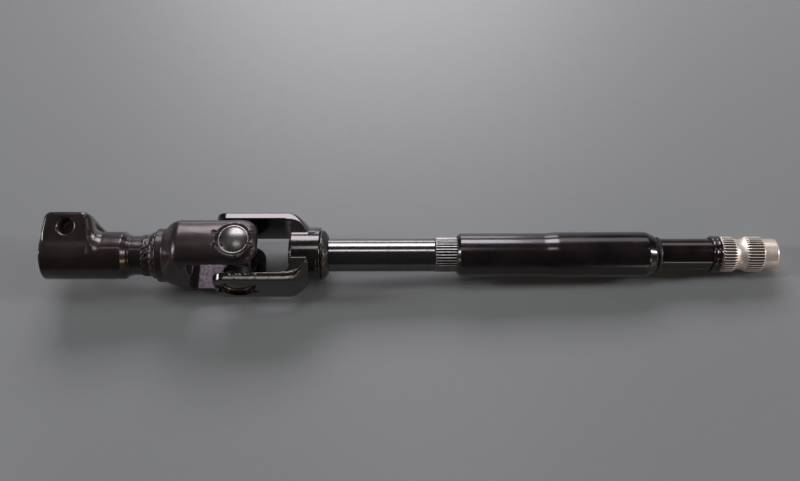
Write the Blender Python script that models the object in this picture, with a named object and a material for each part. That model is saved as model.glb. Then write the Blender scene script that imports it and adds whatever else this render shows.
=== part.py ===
"""Lower steering column shaft: pinch clamp, one universal joint and a sliding splined sleeve.

The shaft lies along X and its column end points to +X. The origin is the centre of the flat
end face there. Z is the pin axis of the coupling yoke and Y is the pin axis of the shaft yoke.
"""

import math

import bmesh
import bpy
from mathutils import Matrix, Vector

MM = 0.001

# General clearances
SEAT_GAP = 0.3 * MM
SPLINE_CLEARANCE = 0.15 * MM
MERGE_DISTANCE = 0.001 * MM

# Lengths that set the whole shaft, measured from the centre of the universal joint
JOINT_TO_COLUMN_FACE = 283.8 * MM
JOINT_TO_COUPLING_FACE = 102.4 * MM

# Serrations: one tooth count for both ends and for the sliding spline
SERRATION_TEETH = 36
SERRATION_DEPTH = 0.75 * MM

# Column end, measured back from its end face
PILOT_RADIUS = 8.05 * MM
PILOT_LENGTH = 7.4 * MM
PILOT_CHAMFER = 0.8 * MM
COLUMN_SERRATION_RADIUS = 9.25 * MM
OUTER_SERRATION_LENGTH = 9.0 * MM
BOLT_GROOVE_WIDTH = 5.8 * MM
BOLT_GROOVE_DEPTH = 1.25 * MM
INNER_SERRATION_LENGTH = 7.2 * MM
COLLAR_LENGTH = 5.0 * MM
COLLAR_RADIUS = 9.8 * MM
COLLAR_VALLEY_RADIUS = 9.1 * MM
STUB_SHAFT_RADIUS = 8.3 * MM
STUB_SHAFT_LENGTH = 28.3 * MM
STUB_INSERTION = 13.0 * MM

# Sleeve
SLEEVE_LENGTH = 106.2 * MM
SLEEVE_RADIUS = 11.65 * MM
SLEEVE_WALL = 2.25 * MM
SLEEVE_SHOULDER_LENGTH = 5.5 * MM
SLEEVE_END_LAND = 1.1 * MM
SLEEVE_END_DEPTH = 7.5 * MM
SWAGED_RADIUS = 11.1 * MM
SWAGED_LENGTH = 47.4 * MM
SWAGE_STEP_LENGTH = 4.5 * MM
SLEEVE_MOUTH_ROUND = 1.5 * MM
SLEEVE_MOUTH_CHAMFER = 1.0 * MM
SLEEVE_BEAD_LENGTH = 2.4 * MM

# Splined shaft, measured from the centre of the universal joint
SHAFT_RADIUS = 8.55 * MM
SHAFT_START = 26.7 * MM
FREE_SPLINE = 10.5 * MM
ENGAGED_SPLINE = 42.5 * MM
SPLINE_RADIUS = 8.8 * MM
SPLINE_RUN_OUT = 1.5 * MM
SHAFT_END_CHAMFER = 1.2 * MM

# Universal joint: cross, needle bearings and seals
TRUNNION_RADIUS = 4.5 * MM
ROLLER_RADIUS = 1.0 * MM
BEARING_GAP = 0.3 * MM
CUP_WALL = 0.9 * MM
CUP_FLOOR = 1.2 * MM
CUP_DOME_HEIGHT = 0.8 * MM
CUP_CORNER = 0.6 * MM
CROSS_BLOCK_HALF_WIDTH = 5.2 * MM
CROSS_BLOCK_CORNER = 3.0 * MM
CROSS_BLOCK_SETBACK = 0.4 * MM
CROSS_SHOULDER_RADIUS = 6.4 * MM
CROSS_SHOULDER_REACH = 7.8 * MM
SEAL_THICKNESS = 1.7 * MM
THRUST_PIN_RADIUS = 1.4 * MM
THRUST_PIN_LENGTH = 5.0 * MM
THRUST_HEAD_RADIUS = 3.6 * MM
THRUST_HEAD_THICKNESS = 0.9 * MM

# Coupling yoke: forged, with ears round on the outside
COUPLING_EAR_RADIUS = 22.3 * MM
COUPLING_EAR_INNER = 15.7 * MM
COUPLING_EAR_HALF_WIDTH = 12.0 * MM
COUPLING_EAR_END = 12.1 * MM
COUPLING_EAR_CORNER = 9.5 * MM
COUPLING_CUP_REACH = 21.2 * MM
COUPLING_THROAT = 24.0 * MM
COUPLING_THROAT_FILLET = 6.0 * MM
COUPLING_HUB_RADIUS = 14.2 * MM
COUPLING_HUB_FACE = 42.4 * MM
COUPLING_SHOULDER_START = 38.2 * MM
COUPLING_SHOULDER_END = 28.4 * MM
COUPLING_SHOULDER_EASE = 1.3
COUPLING_WAIST = 31.0 * MM
CUP_RIM_WIDTH = 0.6 * MM
CUP_RIM_DROP = 0.9 * MM
STAKE_ANGLE = math.radians(22)
STAKE_RADIUS = 0.8 * MM
STAKE_DEPTH = 0.6 * MM

# Shaft yoke: a pressed fork with flat arms
FORK_OUTER = 18.7 * MM
FORK_PLATE = 3.4 * MM
FORK_HALF_WIDTH = 12.4 * MM
FORK_ARM_END = 12.6 * MM
FORK_ARM_CORNER = 7.0 * MM
FORK_CUP_REACH = 18.5 * MM
FORK_THROAT = 28.4 * MM
FORK_THROAT_FILLET = 5.5 * MM
FORK_BEND_START = 26.0 * MM
FORK_BEND_END = 37.6 * MM
FORK_SHOULDER_EASE = 1.0
FORK_HUB_RADIUS = 14.7 * MM
FORK_HUB_FACE = 43.5 * MM

# Clamp coupling
BARREL_RADIUS = 12.6 * MM
BARREL_LENGTH = 42.3 * MM
BARREL_CONE_LENGTH = 3.1 * MM
BARREL_EDGE = 0.8 * MM
STUB_RADIUS = 10.3 * MM
STUB_SOCKET_DEPTH = 14.0 * MM
LUG_PHASE = math.radians(15.9)
LUG_HEIGHT = 21.7 * MM
LUG_HALF_THICKNESS = 12.0 * MM
LUG_TOP_SETBACK = 2.2 * MM
LUG_TOP_LENGTH = 22.6 * MM
LUG_ROOT_SPREAD = 2.0 * MM
LUG_CORNER = 3.6 * MM
LUG_RAMP_START = 22.4 * MM
LUG_RAMP_END = 31.4 * MM
LUG_RAMP_HALF_THICKNESS = 9.5 * MM
PINCH_BOLT_INSET = 13.3 * MM
PINCH_BOLT_HEIGHT = 14.0 * MM
PINCH_BOLT_HOLE_RADIUS = 4.25 * MM
PINCH_SLOT_WIDTH = 3.0 * MM
PINCH_SLOT_LENGTH = 34.0 * MM
PINION_BORE_RADIUS = 9.25 * MM
PINION_BORE_DEPTH = 40.0 * MM
PINION_BORE_CHAMFER = 1.0 * MM

# Weld beads
COUPLING_BEAD_LENGTH = 4.2 * MM
COUPLING_BEAD_HEIGHT = 3.4 * MM
SHAFT_BEAD_LENGTH = 4.7 * MM
SHAFT_BEAD_HEIGHT = 4.2 * MM
BEAD_RIPPLE = 0.25 * MM
BEAD_RIPPLE_COUNT = 13

# Facets
TOOTHED_SEGMENTS = 2 * SERRATION_TEETH
YOKE_SEGMENTS = 36
COLLAR_SEGMENTS = 32
CUP_SEGMENTS = 20
SEAL_SEGMENTS = 16
TRUNNION_SEGMENTS = 16
PIN_SEGMENTS = 10
STAKE_SEGMENTS = 6
BEAD_SEGMENTS = 2 * BEAD_RIPPLE_COUNT
ARC_STEPS = 3
SHOULDER_STEPS = 6

# Fits that follow from the sizes above
ROLLER_PITCH_RADIUS = TRUNNION_RADIUS + BEARING_GAP + ROLLER_RADIUS
CUP_BORE_RADIUS = ROLLER_PITCH_RADIUS + ROLLER_RADIUS + BEARING_GAP
CUP_RADIUS = CUP_BORE_RADIUS + CUP_WALL
CUP_MOUTH = CROSS_SHOULDER_REACH + SEAL_THICKNESS + 2 * SEAT_GAP
EAR_BORE_RADIUS = CUP_RADIUS + SEAT_GAP
STUB_SHAFT_START = PILOT_LENGTH + OUTER_SERRATION_LENGTH + BOLT_GROOVE_WIDTH + INNER_SERRATION_LENGTH
SLEEVE_END = STUB_SHAFT_START + COLLAR_LENGTH + SEAT_GAP + STUB_SHAFT_LENGTH
SPLINE_START = JOINT_TO_COLUMN_FACE - SLEEVE_END - SLEEVE_LENGTH - FREE_SPLINE
SPLINE_END = SPLINE_START + FREE_SPLINE + ENGAGED_SPLINE

# Turns that point a shape made along X or in XY the other ways
X_TO_Z = Matrix.Rotation(-math.pi / 2, 4, "Y")
X_TO_Y = Matrix.Rotation(math.pi / 2, 4, "Z")
XY_TO_XZ = Matrix.Rotation(math.pi / 2, 4, "X")
HALF_TURN = Matrix.Rotation(math.pi, 4, "X")

# Finishes: colour, roughness and metallic value
BLACK_PAINT = ((0.022, 0.019, 0.018), 0.32, 0.0)
GLOSS_PAINT = ((0.030, 0.026, 0.024), 0.18, 0.0)
WELD_PAINT = ((0.035, 0.026, 0.020), 0.45, 0.0)
BARE_STEEL = ((0.52, 0.49, 0.44), 0.28, 1.0)
BEARING_STEEL = ((0.60, 0.60, 0.60), 0.20, 1.0)
DARK_STEEL = ((0.045, 0.042, 0.040), 0.25, 0.6)
SEAL_RUBBER = ((0.015, 0.015, 0.015), 0.70, 0.0)
THRUST_PLASTIC = ((0.75, 0.73, 0.66), 0.50, 0.0)


def arc(centre, radii, start, end, steps=ARC_STEPS):
    """Points along part of an ellipse, from one angle in degrees to another."""
    points = []
    for step in range(steps + 1):
        angle = math.radians(start + (end - start) * step / steps)
        points.append((centre[0] + radii[0] * math.cos(angle), centre[1] + radii[1] * math.sin(angle)))
    return points


def rounded_corner(before, corner, after, radius, steps=ARC_STEPS):
    """The points of a fillet of one radius at a corner between two straight sides."""
    corner = Vector(corner)
    to_before = (Vector(before) - corner).normalized()
    to_after = (Vector(after) - corner).normalized()
    half = to_before.angle(to_after) / 2
    centre = corner + (to_before + to_after).normalized() * radius / math.sin(half)
    first = (corner + to_before * radius / math.tan(half) - centre).normalized()
    last = (corner + to_after * radius / math.tan(half) - centre).normalized()
    points = []
    for step in range(steps + 1):
        points.append(tuple(centre + first.slerp(last, step / steps) * radius))
    return points


def shoulder(low, high, ease):
    """Points from the low to the high end of a shoulder, whose rise is a sine to the power of ease."""
    points = []
    for step in range(SHOULDER_STEPS + 1):
        share = step / SHOULDER_STEPS
        rise = math.sin(math.pi / 2 * share) ** ease
        points.append((low[0] + (high[0] - low[0]) * share, low[1] + (high[1] - low[1]) * rise))
    return points


def turned(profile, segments):
    """A solid turned about X from (x, radius) points, closed to a ring if it leaves the axis."""
    bm = bmesh.new()
    verts = [bm.verts.new((x, radius, 0)) for x, radius in profile]
    edges = [bm.edges.new(pair) for pair in zip(verts, verts[1:])]
    if profile[0][1] > 0:
        edges.append(bm.edges.new((verts[-1], verts[0])))
    bmesh.ops.spin(
        bm, geom=verts + edges, cent=(0, 0, 0), axis=(1, 0, 0), angle=2 * math.pi, steps=segments,
        use_merge=True,
    )
    bmesh.ops.remove_doubles(bm, verts=bm.verts, dist=MERGE_DISTANCE)
    bmesh.ops.recalc_face_normals(bm, faces=bm.faces)
    return bm


def cut_teeth(bm, start, end, root_radius):
    """Lowers every other lengthwise row of a turned solid to the root radius, between two places."""
    for vert in bm.verts:
        radius = math.hypot(vert.co.y, vert.co.z)
        row = round(math.atan2(vert.co.z, vert.co.y) / (2 * math.pi) * TOOTHED_SEGMENTS)
        inside = start - MERGE_DISTANCE < vert.co.x < end + MERGE_DISTANCE
        if inside and row % 2 and radius > root_radius:
            vert.co.y *= root_radius / radius
            vert.co.z *= root_radius / radius


def raise_teeth(bm, start, end, bore_radius, tip_radius):
    """Draws every other lengthwise row of a bore in to the tip radius, between two places."""
    for vert in bm.verts:
        radius = math.hypot(vert.co.y, vert.co.z)
        row = round(math.atan2(vert.co.z, vert.co.y) / (2 * math.pi) * TOOTHED_SEGMENTS)
        inside = start - MERGE_DISTANCE < vert.co.x < end + MERGE_DISTANCE
        if inside and row % 2 and radius < bore_radius + MERGE_DISTANCE:
            vert.co.y *= tip_radius / radius
            vert.co.z *= tip_radius / radius


def extruded(outline, half_depth, turn=None):
    """A prism from an outline in the XY plane, both ways along Z, and then turned."""
    bm = bmesh.new()
    face = bm.faces.new([bm.verts.new((x, y, -half_depth)) for x, y in outline])
    grown = bmesh.ops.extrude_face_region(bm, geom=[face])
    top = [item for item in grown["geom"] if isinstance(item, bmesh.types.BMVert)]
    bmesh.ops.translate(bm, verts=top, vec=(0, 0, 2 * half_depth))
    bmesh.ops.recalc_face_normals(bm, faces=bm.faces)
    if turn:
        bmesh.ops.transform(bm, matrix=turn, verts=bm.verts)
    return bm


def mesh_object(name, bm, parent, turn=None):
    """An object from a bmesh, carried by its parent and turned about the parent's origin."""
    mesh = bpy.data.meshes.new(name)
    bm.to_mesh(mesh)
    bm.free()
    thing = bpy.data.objects.new(name, mesh)
    bpy.context.collection.objects.link(thing)
    thing.parent = parent
    if turn:
        thing.matrix_local = turn
    return thing


def node(name, bm, parent, finish, turn=None):
    """A piece of the shaft with its own material, shaded smooth but for its sharp edges."""
    thing = mesh_object(name, bm, parent, turn)
    colour, roughness, metallic = finish
    material = bpy.data.materials.new(name)
    material.use_nodes = True
    shader = material.node_tree.nodes["Principled BSDF"]
    shader.inputs["Base Color"].default_value = (*colour, 1)
    shader.inputs["Roughness"].default_value = roughness
    shader.inputs["Metallic"].default_value = metallic
    thing.data.materials.append(material)
    thing.data.shade_smooth()
    thing.data.set_sharp_from_angle(angle=math.radians(30))
    return thing


def shape_with(thing, bm, operation, turn=None):
    """Cuts, trims or joins a piece with a tool shape that stays hidden."""
    tool = mesh_object(f"{thing.name}_{operation.lower()}_tool", bm, thing.parent, turn)
    tool.hide_render = True
    tool.display_type = "WIRE"
    modifier = thing.modifiers.new(tool.name, "BOOLEAN")
    modifier.operation = operation
    modifier.solver = "EXACT"
    modifier.object = tool


def pivot(name, place, parent=None):
    """An empty that carries the pieces of one body."""
    empty = bpy.data.objects.new(name, None)
    bpy.context.collection.objects.link(empty)
    empty.parent = parent
    empty.location = place
    empty.empty_display_size = 0.02
    return empty


def make_column_stub(body):
    """The solid serrated end, with the round groove that its pinch bolt drops into."""
    outer_end = -PILOT_LENGTH
    groove_end = outer_end - OUTER_SERRATION_LENGTH
    groove_start = groove_end - BOLT_GROOVE_WIDTH
    start = -STUB_SHAFT_START
    half_width = BOLT_GROOVE_WIDTH / 2
    groove_radius = (half_width**2 + BOLT_GROOVE_DEPTH**2) / (2 * BOLT_GROOVE_DEPTH)
    groove_angle = math.degrees(math.asin(half_width / groove_radius))
    groove_centre = (
        groove_start + half_width,
        COLUMN_SERRATION_RADIUS - BOLT_GROOVE_DEPTH + groove_radius,
    )
    rear = -SLEEVE_END - STUB_INSERTION
    profile = [
        (rear, 0),
        (rear, STUB_SHAFT_RADIUS),
        (start, STUB_SHAFT_RADIUS),
        (start + SEAT_GAP, COLUMN_SERRATION_RADIUS),
        *arc(groove_centre, (groove_radius,) * 2, 270 - groove_angle, 270 + groove_angle),
        (outer_end - SERRATION_DEPTH, COLUMN_SERRATION_RADIUS),
        (outer_end, PILOT_RADIUS),
        (-PILOT_CHAMFER, PILOT_RADIUS),
        (0, PILOT_RADIUS - PILOT_CHAMFER),
        (0, 0),
    ]
    bm = turned(profile, TOOTHED_SEGMENTS)
    cut_teeth(bm, start + SEAT_GAP, outer_end, COLUMN_SERRATION_RADIUS - SERRATION_DEPTH)
    node("column_stub", bm, body, BARE_STEEL)


def make_end_collar(body):
    """The ring with two round beads, against the shoulder of the inner serration."""
    bead = COLLAR_LENGTH / 2
    inner = STUB_SHAFT_RADIUS + SEAT_GAP
    left = -STUB_SHAFT_START - SEAT_GAP - COLLAR_LENGTH
    height = COLLAR_RADIUS - COLLAR_VALLEY_RADIUS
    profile = [(left, inner)]
    for centre in (left + bead / 2, left + bead * 3 / 2):
        profile += arc((centre, COLLAR_VALLEY_RADIUS), (bead / 2, height), 180, 0)
    profile.append((left + COLLAR_LENGTH, inner))
    del profile[ARC_STEPS + 2]
    node("end_collar", turned(profile, COLLAR_SEGMENTS), body, GLOSS_PAINT)


def make_sleeve(body):
    """The tube that slides on the splined shaft: swaged over the spline and closed in at its end."""
    right = -SLEEVE_END
    left = right - SLEEVE_LENGTH
    swage_end = left + SWAGED_LENGTH
    step_end = swage_end + SWAGE_STEP_LENGTH
    bore = SLEEVE_RADIUS - SLEEVE_WALL
    spline_bore = SPLINE_RADIUS + SPLINE_CLEARANCE
    end_bore = STUB_SHAFT_RADIUS + SEAT_GAP
    land = end_bore + SLEEVE_END_LAND
    mouth = spline_bore + SLEEVE_MOUTH_CHAMFER / 2
    spline_from = left + SLEEVE_MOUTH_CHAMFER
    shoulder = (right - SLEEVE_SHOULDER_LENGTH, land)
    shoulder_radii = (SLEEVE_SHOULDER_LENGTH, SLEEVE_RADIUS - land)
    mouth_centre = (left + SLEEVE_MOUTH_ROUND, SWAGED_RADIUS - SLEEVE_MOUTH_ROUND)
    profile = [
        *arc(mouth_centre, (SLEEVE_MOUTH_ROUND,) * 2, 180, 90, 2),
        (swage_end, SWAGED_RADIUS),
        (step_end, SLEEVE_RADIUS),
        *arc(shoulder, shoulder_radii, 90, 0, 2),
        (right, end_bore),
        (right - SLEEVE_END_DEPTH, end_bore),
        (right - SLEEVE_END_DEPTH - SLEEVE_END_LAND, bore),
        (swage_end, bore),
        (swage_end - SLEEVE_MOUTH_CHAMFER, spline_bore),
        (spline_from, spline_bore),
        (left, mouth),
    ]
    bm = turned(profile, TOOTHED_SEGMENTS)
    raise_teeth(
        bm, spline_from, swage_end - SLEEVE_MOUTH_CHAMFER, spline_bore, spline_bore - SERRATION_DEPTH
    )
    node("sleeve_tube", bm, body, BLACK_PAINT)
    make_bead(
        "sleeve_weld", body, right + SEAT_GAP, end_bore, SLEEVE_BEAD_LENGTH, SLEEVE_END_LAND, BLACK_PAINT
    )


def make_bead(name, body, foot, bore, length, height, finish):
    """A weld bead: a rippled fillet that climbs from a shaft up the face at its foot."""
    way = math.copysign(1, length)
    side = foot + length
    profile = [
        (foot, bore),
        (foot, bore + height),
        (foot + length * 0.32, bore + height * 0.86),
        (foot + length * 0.68, bore + height * 0.52),
        (side, bore + height * 0.1),
        (side - way * height * 0.1, bore),
    ]
    bm = turned(profile, BEAD_SEGMENTS)
    for vert in bm.verts:
        radius = math.hypot(vert.co.y, vert.co.z)
        row = round(math.atan2(vert.co.z, vert.co.y) / (2 * math.pi) * BEAD_SEGMENTS)
        if row % 2 and bore + height * 0.3 < radius and abs(vert.co.x - foot) > abs(length) * 0.1:
            vert.co.y *= (radius - BEAD_RIPPLE) / radius
            vert.co.z *= (radius - BEAD_RIPPLE) / radius
    node(name, bm, body, finish)


def make_splined_shaft(body):
    """The solid shaft that drives the sleeve through its long outer spline."""
    end = SPLINE_END
    root = SPLINE_RADIUS - SERRATION_DEPTH
    profile = [
        (SHAFT_START, 0),
        (SHAFT_START, SHAFT_RADIUS - SHAFT_END_CHAMFER),
        (SHAFT_START + SHAFT_END_CHAMFER, SHAFT_RADIUS),
        (SPLINE_START - SPLINE_RUN_OUT, SHAFT_RADIUS),
        (SPLINE_START, SPLINE_RADIUS),
        (end - SHAFT_END_CHAMFER, SPLINE_RADIUS),
        (end, SPLINE_RADIUS - SHAFT_END_CHAMFER),
        (end, 0),
    ]
    bm = turned(profile, TOOTHED_SEGMENTS)
    cut_teeth(bm, SPLINE_START, end - SHAFT_END_CHAMFER, root)
    node("splined_shaft", bm, body, DARK_STEEL)
    make_bead(
        "shaft_weld", body, FORK_HUB_FACE + SEAT_GAP, SHAFT_RADIUS + SEAT_GAP, SHAFT_BEAD_LENGTH,
        SHAFT_BEAD_HEIGHT, WELD_PAINT,
    )


def cup_bore_cutter(reach):
    """The through bore for two bearing cups, with a wider rim cut round the top of each."""
    far = reach + COUPLING_EAR_RADIUS
    rim = reach - CUP_RIM_DROP
    rim_radius = EAR_BORE_RADIUS + CUP_RIM_WIDTH
    profile = [
        (-far, 0),
        (-far, rim_radius),
        (-rim, rim_radius),
        (-rim, EAR_BORE_RADIUS),
        (rim, EAR_BORE_RADIUS),
        (rim, rim_radius),
        (far, rim_radius),
        (far, 0),
    ]
    return turned(profile, CUP_SEGMENTS)


def stake_cutter(rim_radius, floor, top):
    """Four punches along X, two on each side of the bore, that stake the cup's rim in place."""
    bm = bmesh.new()
    for angle in (STAKE_ANGLE, -STAKE_ANGLE, math.pi - STAKE_ANGLE, math.pi + STAKE_ANGLE):
        place = Matrix.Translation((
            (floor + top) / 2, rim_radius * math.sin(angle), rim_radius * math.cos(angle)
        ))
        bmesh.ops.create_cone(
            bm, cap_ends=True, segments=STAKE_SEGMENTS, radius1=STAKE_RADIUS, radius2=STAKE_RADIUS,
            depth=top - floor, matrix=place @ X_TO_Z.inverted(),
        )
    return bm


def plan_outline(points):
    """An outline that mirrors its upper points below the axis."""
    return points + [(x, -y) for x, y in reversed(points)]


def make_coupling_yoke(body):
    """The forged yoke: a turned blank trimmed to its two ears and bored for cups and stub."""
    edge = BARREL_EDGE
    hub = -COUPLING_HUB_FACE
    low = (-COUPLING_SHOULDER_START, COUPLING_HUB_RADIUS)
    high = (-COUPLING_SHOULDER_END, COUPLING_EAR_RADIUS)
    blank = [
        (hub, 0),
        (hub, COUPLING_HUB_RADIUS - edge / 2),
        (hub + edge / 2, COUPLING_HUB_RADIUS),
        *shoulder(low, high, COUPLING_SHOULDER_EASE),
        (COUPLING_EAR_END + edge, COUPLING_EAR_RADIUS),
        (COUPLING_EAR_END + edge, 0),
    ]
    yoke = node("coupling_yoke", turned(blank, YOKE_SEGMENTS), body, BLACK_PAINT)
    side = COUPLING_EAR_HALF_WIDTH
    end = COUPLING_EAR_END
    outline = [
        (hub - edge, COUPLING_HUB_RADIUS + SEAT_GAP),
        (-COUPLING_SHOULDER_START, COUPLING_HUB_RADIUS + SEAT_GAP),
        (-COUPLING_WAIST, side),
        *rounded_corner((-COUPLING_WAIST, side), (end, side), (end, 0), COUPLING_EAR_CORNER, 5),
    ]
    shape_with(yoke, extruded(plan_outline(outline), COUPLING_EAR_RADIUS + edge), "INTERSECT")
    floor = -COUPLING_THROAT
    open_end = end + edge * 2
    throat = [
        (open_end, COUPLING_EAR_INNER),
        *rounded_corner(
            (open_end, COUPLING_EAR_INNER), (floor, COUPLING_EAR_INNER), (floor, 0),
            COUPLING_THROAT_FILLET,
        ),
    ]
    cut = extruded(plan_outline(throat), COUPLING_HUB_RADIUS + 2 * edge, XY_TO_XZ)
    shape_with(yoke, cut, "DIFFERENCE")
    shape_with(yoke, cup_bore_cutter(COUPLING_CUP_REACH), "DIFFERENCE", X_TO_Z)
    rim = EAR_BORE_RADIUS + CUP_RIM_WIDTH
    for turn in (X_TO_Z, HALF_TURN @ X_TO_Z):
        surface = math.sqrt(COUPLING_EAR_RADIUS**2 - (rim * math.sin(STAKE_ANGLE)) ** 2)
        punches = stake_cutter(rim, surface - STAKE_DEPTH, COUPLING_EAR_RADIUS + STAKE_DEPTH)
        shape_with(yoke, punches, "DIFFERENCE", turn)
    socket = STUB_RADIUS + SEAT_GAP
    bore = [(hub - edge, 0), (hub - edge, socket), (floor + edge, socket), (floor + edge, 0)]
    shape_with(yoke, turned(bore, YOKE_SEGMENTS), "DIFFERENCE")


def make_shaft_yoke(body):
    """The pressed fork: a bent profile trimmed to its rounded arm ends and to its round hub."""
    inner = FORK_OUTER - FORK_PLATE
    left = -FORK_ARM_END
    bend = FORK_BEND_END - FORK_BEND_START
    drop = FORK_OUTER - FORK_HUB_RADIUS
    radius = (bend**2 + drop**2) / (2 * drop)
    angle = math.degrees(math.asin(bend / radius))
    bend_centre = (FORK_BEND_START, FORK_OUTER - radius)
    outer_bend = arc(bend_centre, (radius,) * 2, 90, 90 - angle)
    reach = FORK_HALF_WIDTH + FORK_OUTER
    upper = [(left - SEAT_GAP, inner), (left - SEAT_GAP, FORK_OUTER), *outer_bend]
    upper.append((FORK_HUB_FACE, FORK_HUB_RADIUS))
    throat = rounded_corner((left, inner), (FORK_THROAT, inner), (FORK_THROAT, 0), FORK_THROAT_FILLET)
    lower = [(x, -y) for x, y in reversed(upper)]
    floor = [(x, -y) for x, y in throat] + throat[::-1]
    fork = node("shaft_yoke", extruded(upper + lower + floor, FORK_HUB_RADIUS + SEAT_GAP), body, GLOSS_PAINT)
    plan = [
        *rounded_corner((left, 0), (left, FORK_HALF_WIDTH), (0, FORK_HALF_WIDTH), FORK_ARM_CORNER, 5),
        (FORK_BEND_START, FORK_HALF_WIDTH),
        (FORK_BEND_END, FORK_HUB_RADIUS + 2 * SEAT_GAP),
        (FORK_HUB_FACE + SEAT_GAP, FORK_HUB_RADIUS + 2 * SEAT_GAP),
    ]
    shape_with(fork, extruded(plan_outline(plan), reach, XY_TO_XZ), "INTERSECT")
    wide = math.hypot(FORK_OUTER, FORK_HALF_WIDTH) + SEAT_GAP
    envelope = [
        (left - 2 * SEAT_GAP, 0),
        (left - 2 * SEAT_GAP, wide),
        *shoulder((FORK_BEND_END, FORK_HUB_RADIUS), (FORK_BEND_START, wide), FORK_SHOULDER_EASE)[::-1],
        (FORK_HUB_FACE - BARREL_EDGE / 2, FORK_HUB_RADIUS),
        (FORK_HUB_FACE, FORK_HUB_RADIUS - BARREL_EDGE / 2),
        (FORK_HUB_FACE, 0),
    ]
    shape_with(fork, turned(envelope, YOKE_SEGMENTS), "INTERSECT")
    shape_with(fork, cup_bore_cutter(FORK_CUP_REACH), "DIFFERENCE", X_TO_Y)
    rim = EAR_BORE_RADIUS + CUP_RIM_WIDTH
    for turn in (X_TO_Y, HALF_TURN @ X_TO_Y):
        punches = stake_cutter(rim, FORK_OUTER - STAKE_DEPTH, FORK_OUTER + STAKE_DEPTH)
        shape_with(fork, punches, "DIFFERENCE", turn)
    socket = SHAFT_RADIUS + SEAT_GAP
    far = FORK_HUB_FACE + BARREL_EDGE
    bore = [(FORK_THROAT - reach, 0), (FORK_THROAT - reach, socket), (far, socket), (far, 0)]
    shape_with(fork, turned(bore, YOKE_SEGMENTS), "DIFFERENCE")


def make_clamp(body):
    """The clamp: a barrel with a slit lug, a serrated socket and a stub that the yoke is welded to."""
    left = -JOINT_TO_COUPLING_FACE
    cone = left + BARREL_LENGTH
    stub_end = -COUPLING_HUB_FACE + STUB_SOCKET_DEPTH
    barrel = [
        (left, 0),
        (left, BARREL_RADIUS - BARREL_EDGE),
        (left + BARREL_EDGE, BARREL_RADIUS),
        (cone, BARREL_RADIUS),
        (cone + BARREL_CONE_LENGTH, STUB_RADIUS),
        (stub_end - BARREL_EDGE, STUB_RADIUS),
        (stub_end, STUB_RADIUS - BARREL_EDGE),
        (stub_end, 0),
    ]
    clamp = node("clamp_coupling", turned(barrel, YOKE_SEGMENTS), body, BLACK_PAINT)
    lug_turn = Matrix.Rotation(LUG_PHASE, 4, "X")
    top_left = (left + LUG_TOP_SETBACK, LUG_HEIGHT)
    top_right = (left + LUG_TOP_SETBACK + LUG_TOP_LENGTH, LUG_HEIGHT)
    root_right = (top_right[0] + LUG_ROOT_SPREAD, BARREL_RADIUS)
    root_left = (left + SEAT_GAP, BARREL_RADIUS)
    lug = [
        (left + SEAT_GAP, 0),
        root_left,
        *rounded_corner(root_left, top_left, top_right, LUG_CORNER),
        *rounded_corner(top_left, top_right, root_right, LUG_CORNER),
        root_right,
        (root_right[0] + SEAT_GAP, 0),
    ]
    shape_with(clamp, extruded(lug, LUG_HALF_THICKNESS, lug_turn), "UNION")
    ramp_top = LUG_HEIGHT - SEAT_GAP
    ramp = [
        (top_left[0] + LUG_CORNER, 0),
        (top_left[0] + LUG_CORNER, ramp_top),
        (left + LUG_RAMP_START, ramp_top),
        (left + LUG_RAMP_END, BARREL_RADIUS - SEAT_GAP),
        (left + LUG_RAMP_END, 0),
    ]
    shape_with(clamp, extruded(ramp, LUG_RAMP_HALF_THICKNESS, lug_turn), "UNION")
    root = PINION_BORE_RADIUS - SERRATION_DEPTH
    bore_end = left + PINION_BORE_DEPTH
    socket = [
        (left - BARREL_EDGE, 0),
        (left - BARREL_EDGE, PINION_BORE_RADIUS + PINION_BORE_CHAMFER),
        (left, PINION_BORE_RADIUS + PINION_BORE_CHAMFER),
        (left + PINION_BORE_CHAMFER, PINION_BORE_RADIUS),
        (bore_end, PINION_BORE_RADIUS),
        (bore_end + PINION_BORE_CHAMFER, 0),
    ]
    bm = turned(socket, TOOTHED_SEGMENTS)
    cut_teeth(bm, left + PINION_BORE_CHAMFER, bore_end, root)
    shape_with(clamp, bm, "DIFFERENCE")
    slot_end = left + PINCH_SLOT_LENGTH
    over = LUG_HEIGHT + BARREL_EDGE
    slot = [(left - BARREL_EDGE, 0), (slot_end, 0), (slot_end, over), (left - BARREL_EDGE, over)]
    shape_with(clamp, extruded(slot, PINCH_SLOT_WIDTH / 2, lug_turn), "DIFFERENCE")
    bolt_turn = lug_turn @ Matrix.Translation((left + PINCH_BOLT_INSET, PINCH_BOLT_HEIGHT, 0)) @ X_TO_Z
    edge = BARREL_EDGE / 2
    face = LUG_HALF_THICKNESS
    half_hole = [
        (face - edge, PINCH_BOLT_HOLE_RADIUS),
        (face, PINCH_BOLT_HOLE_RADIUS + edge),
        (face + edge, PINCH_BOLT_HOLE_RADIUS + edge),
        (face + edge, 0),
    ]
    hole = [(-x, radius) for x, radius in reversed(half_hole)] + half_hole
    shape_with(clamp, turned(hole, CUP_SEGMENTS), "DIFFERENCE", bolt_turn)
    make_bead(
        "coupling_weld", body, -COUPLING_HUB_FACE - SEAT_GAP, STUB_RADIUS + SEAT_GAP,
        -COUPLING_BEAD_LENGTH, COUPLING_BEAD_HEIGHT, WELD_PAINT,
    )


def trunnion_end(cup_reach):
    """How far the cross reaches inside a cup that itself reaches cup_reach from the centre."""
    cup_floor = cup_reach - CUP_DOME_HEIGHT - CUP_FLOOR
    return cup_floor - THRUST_HEAD_THICKNESS - 2 * BEARING_GAP


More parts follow.
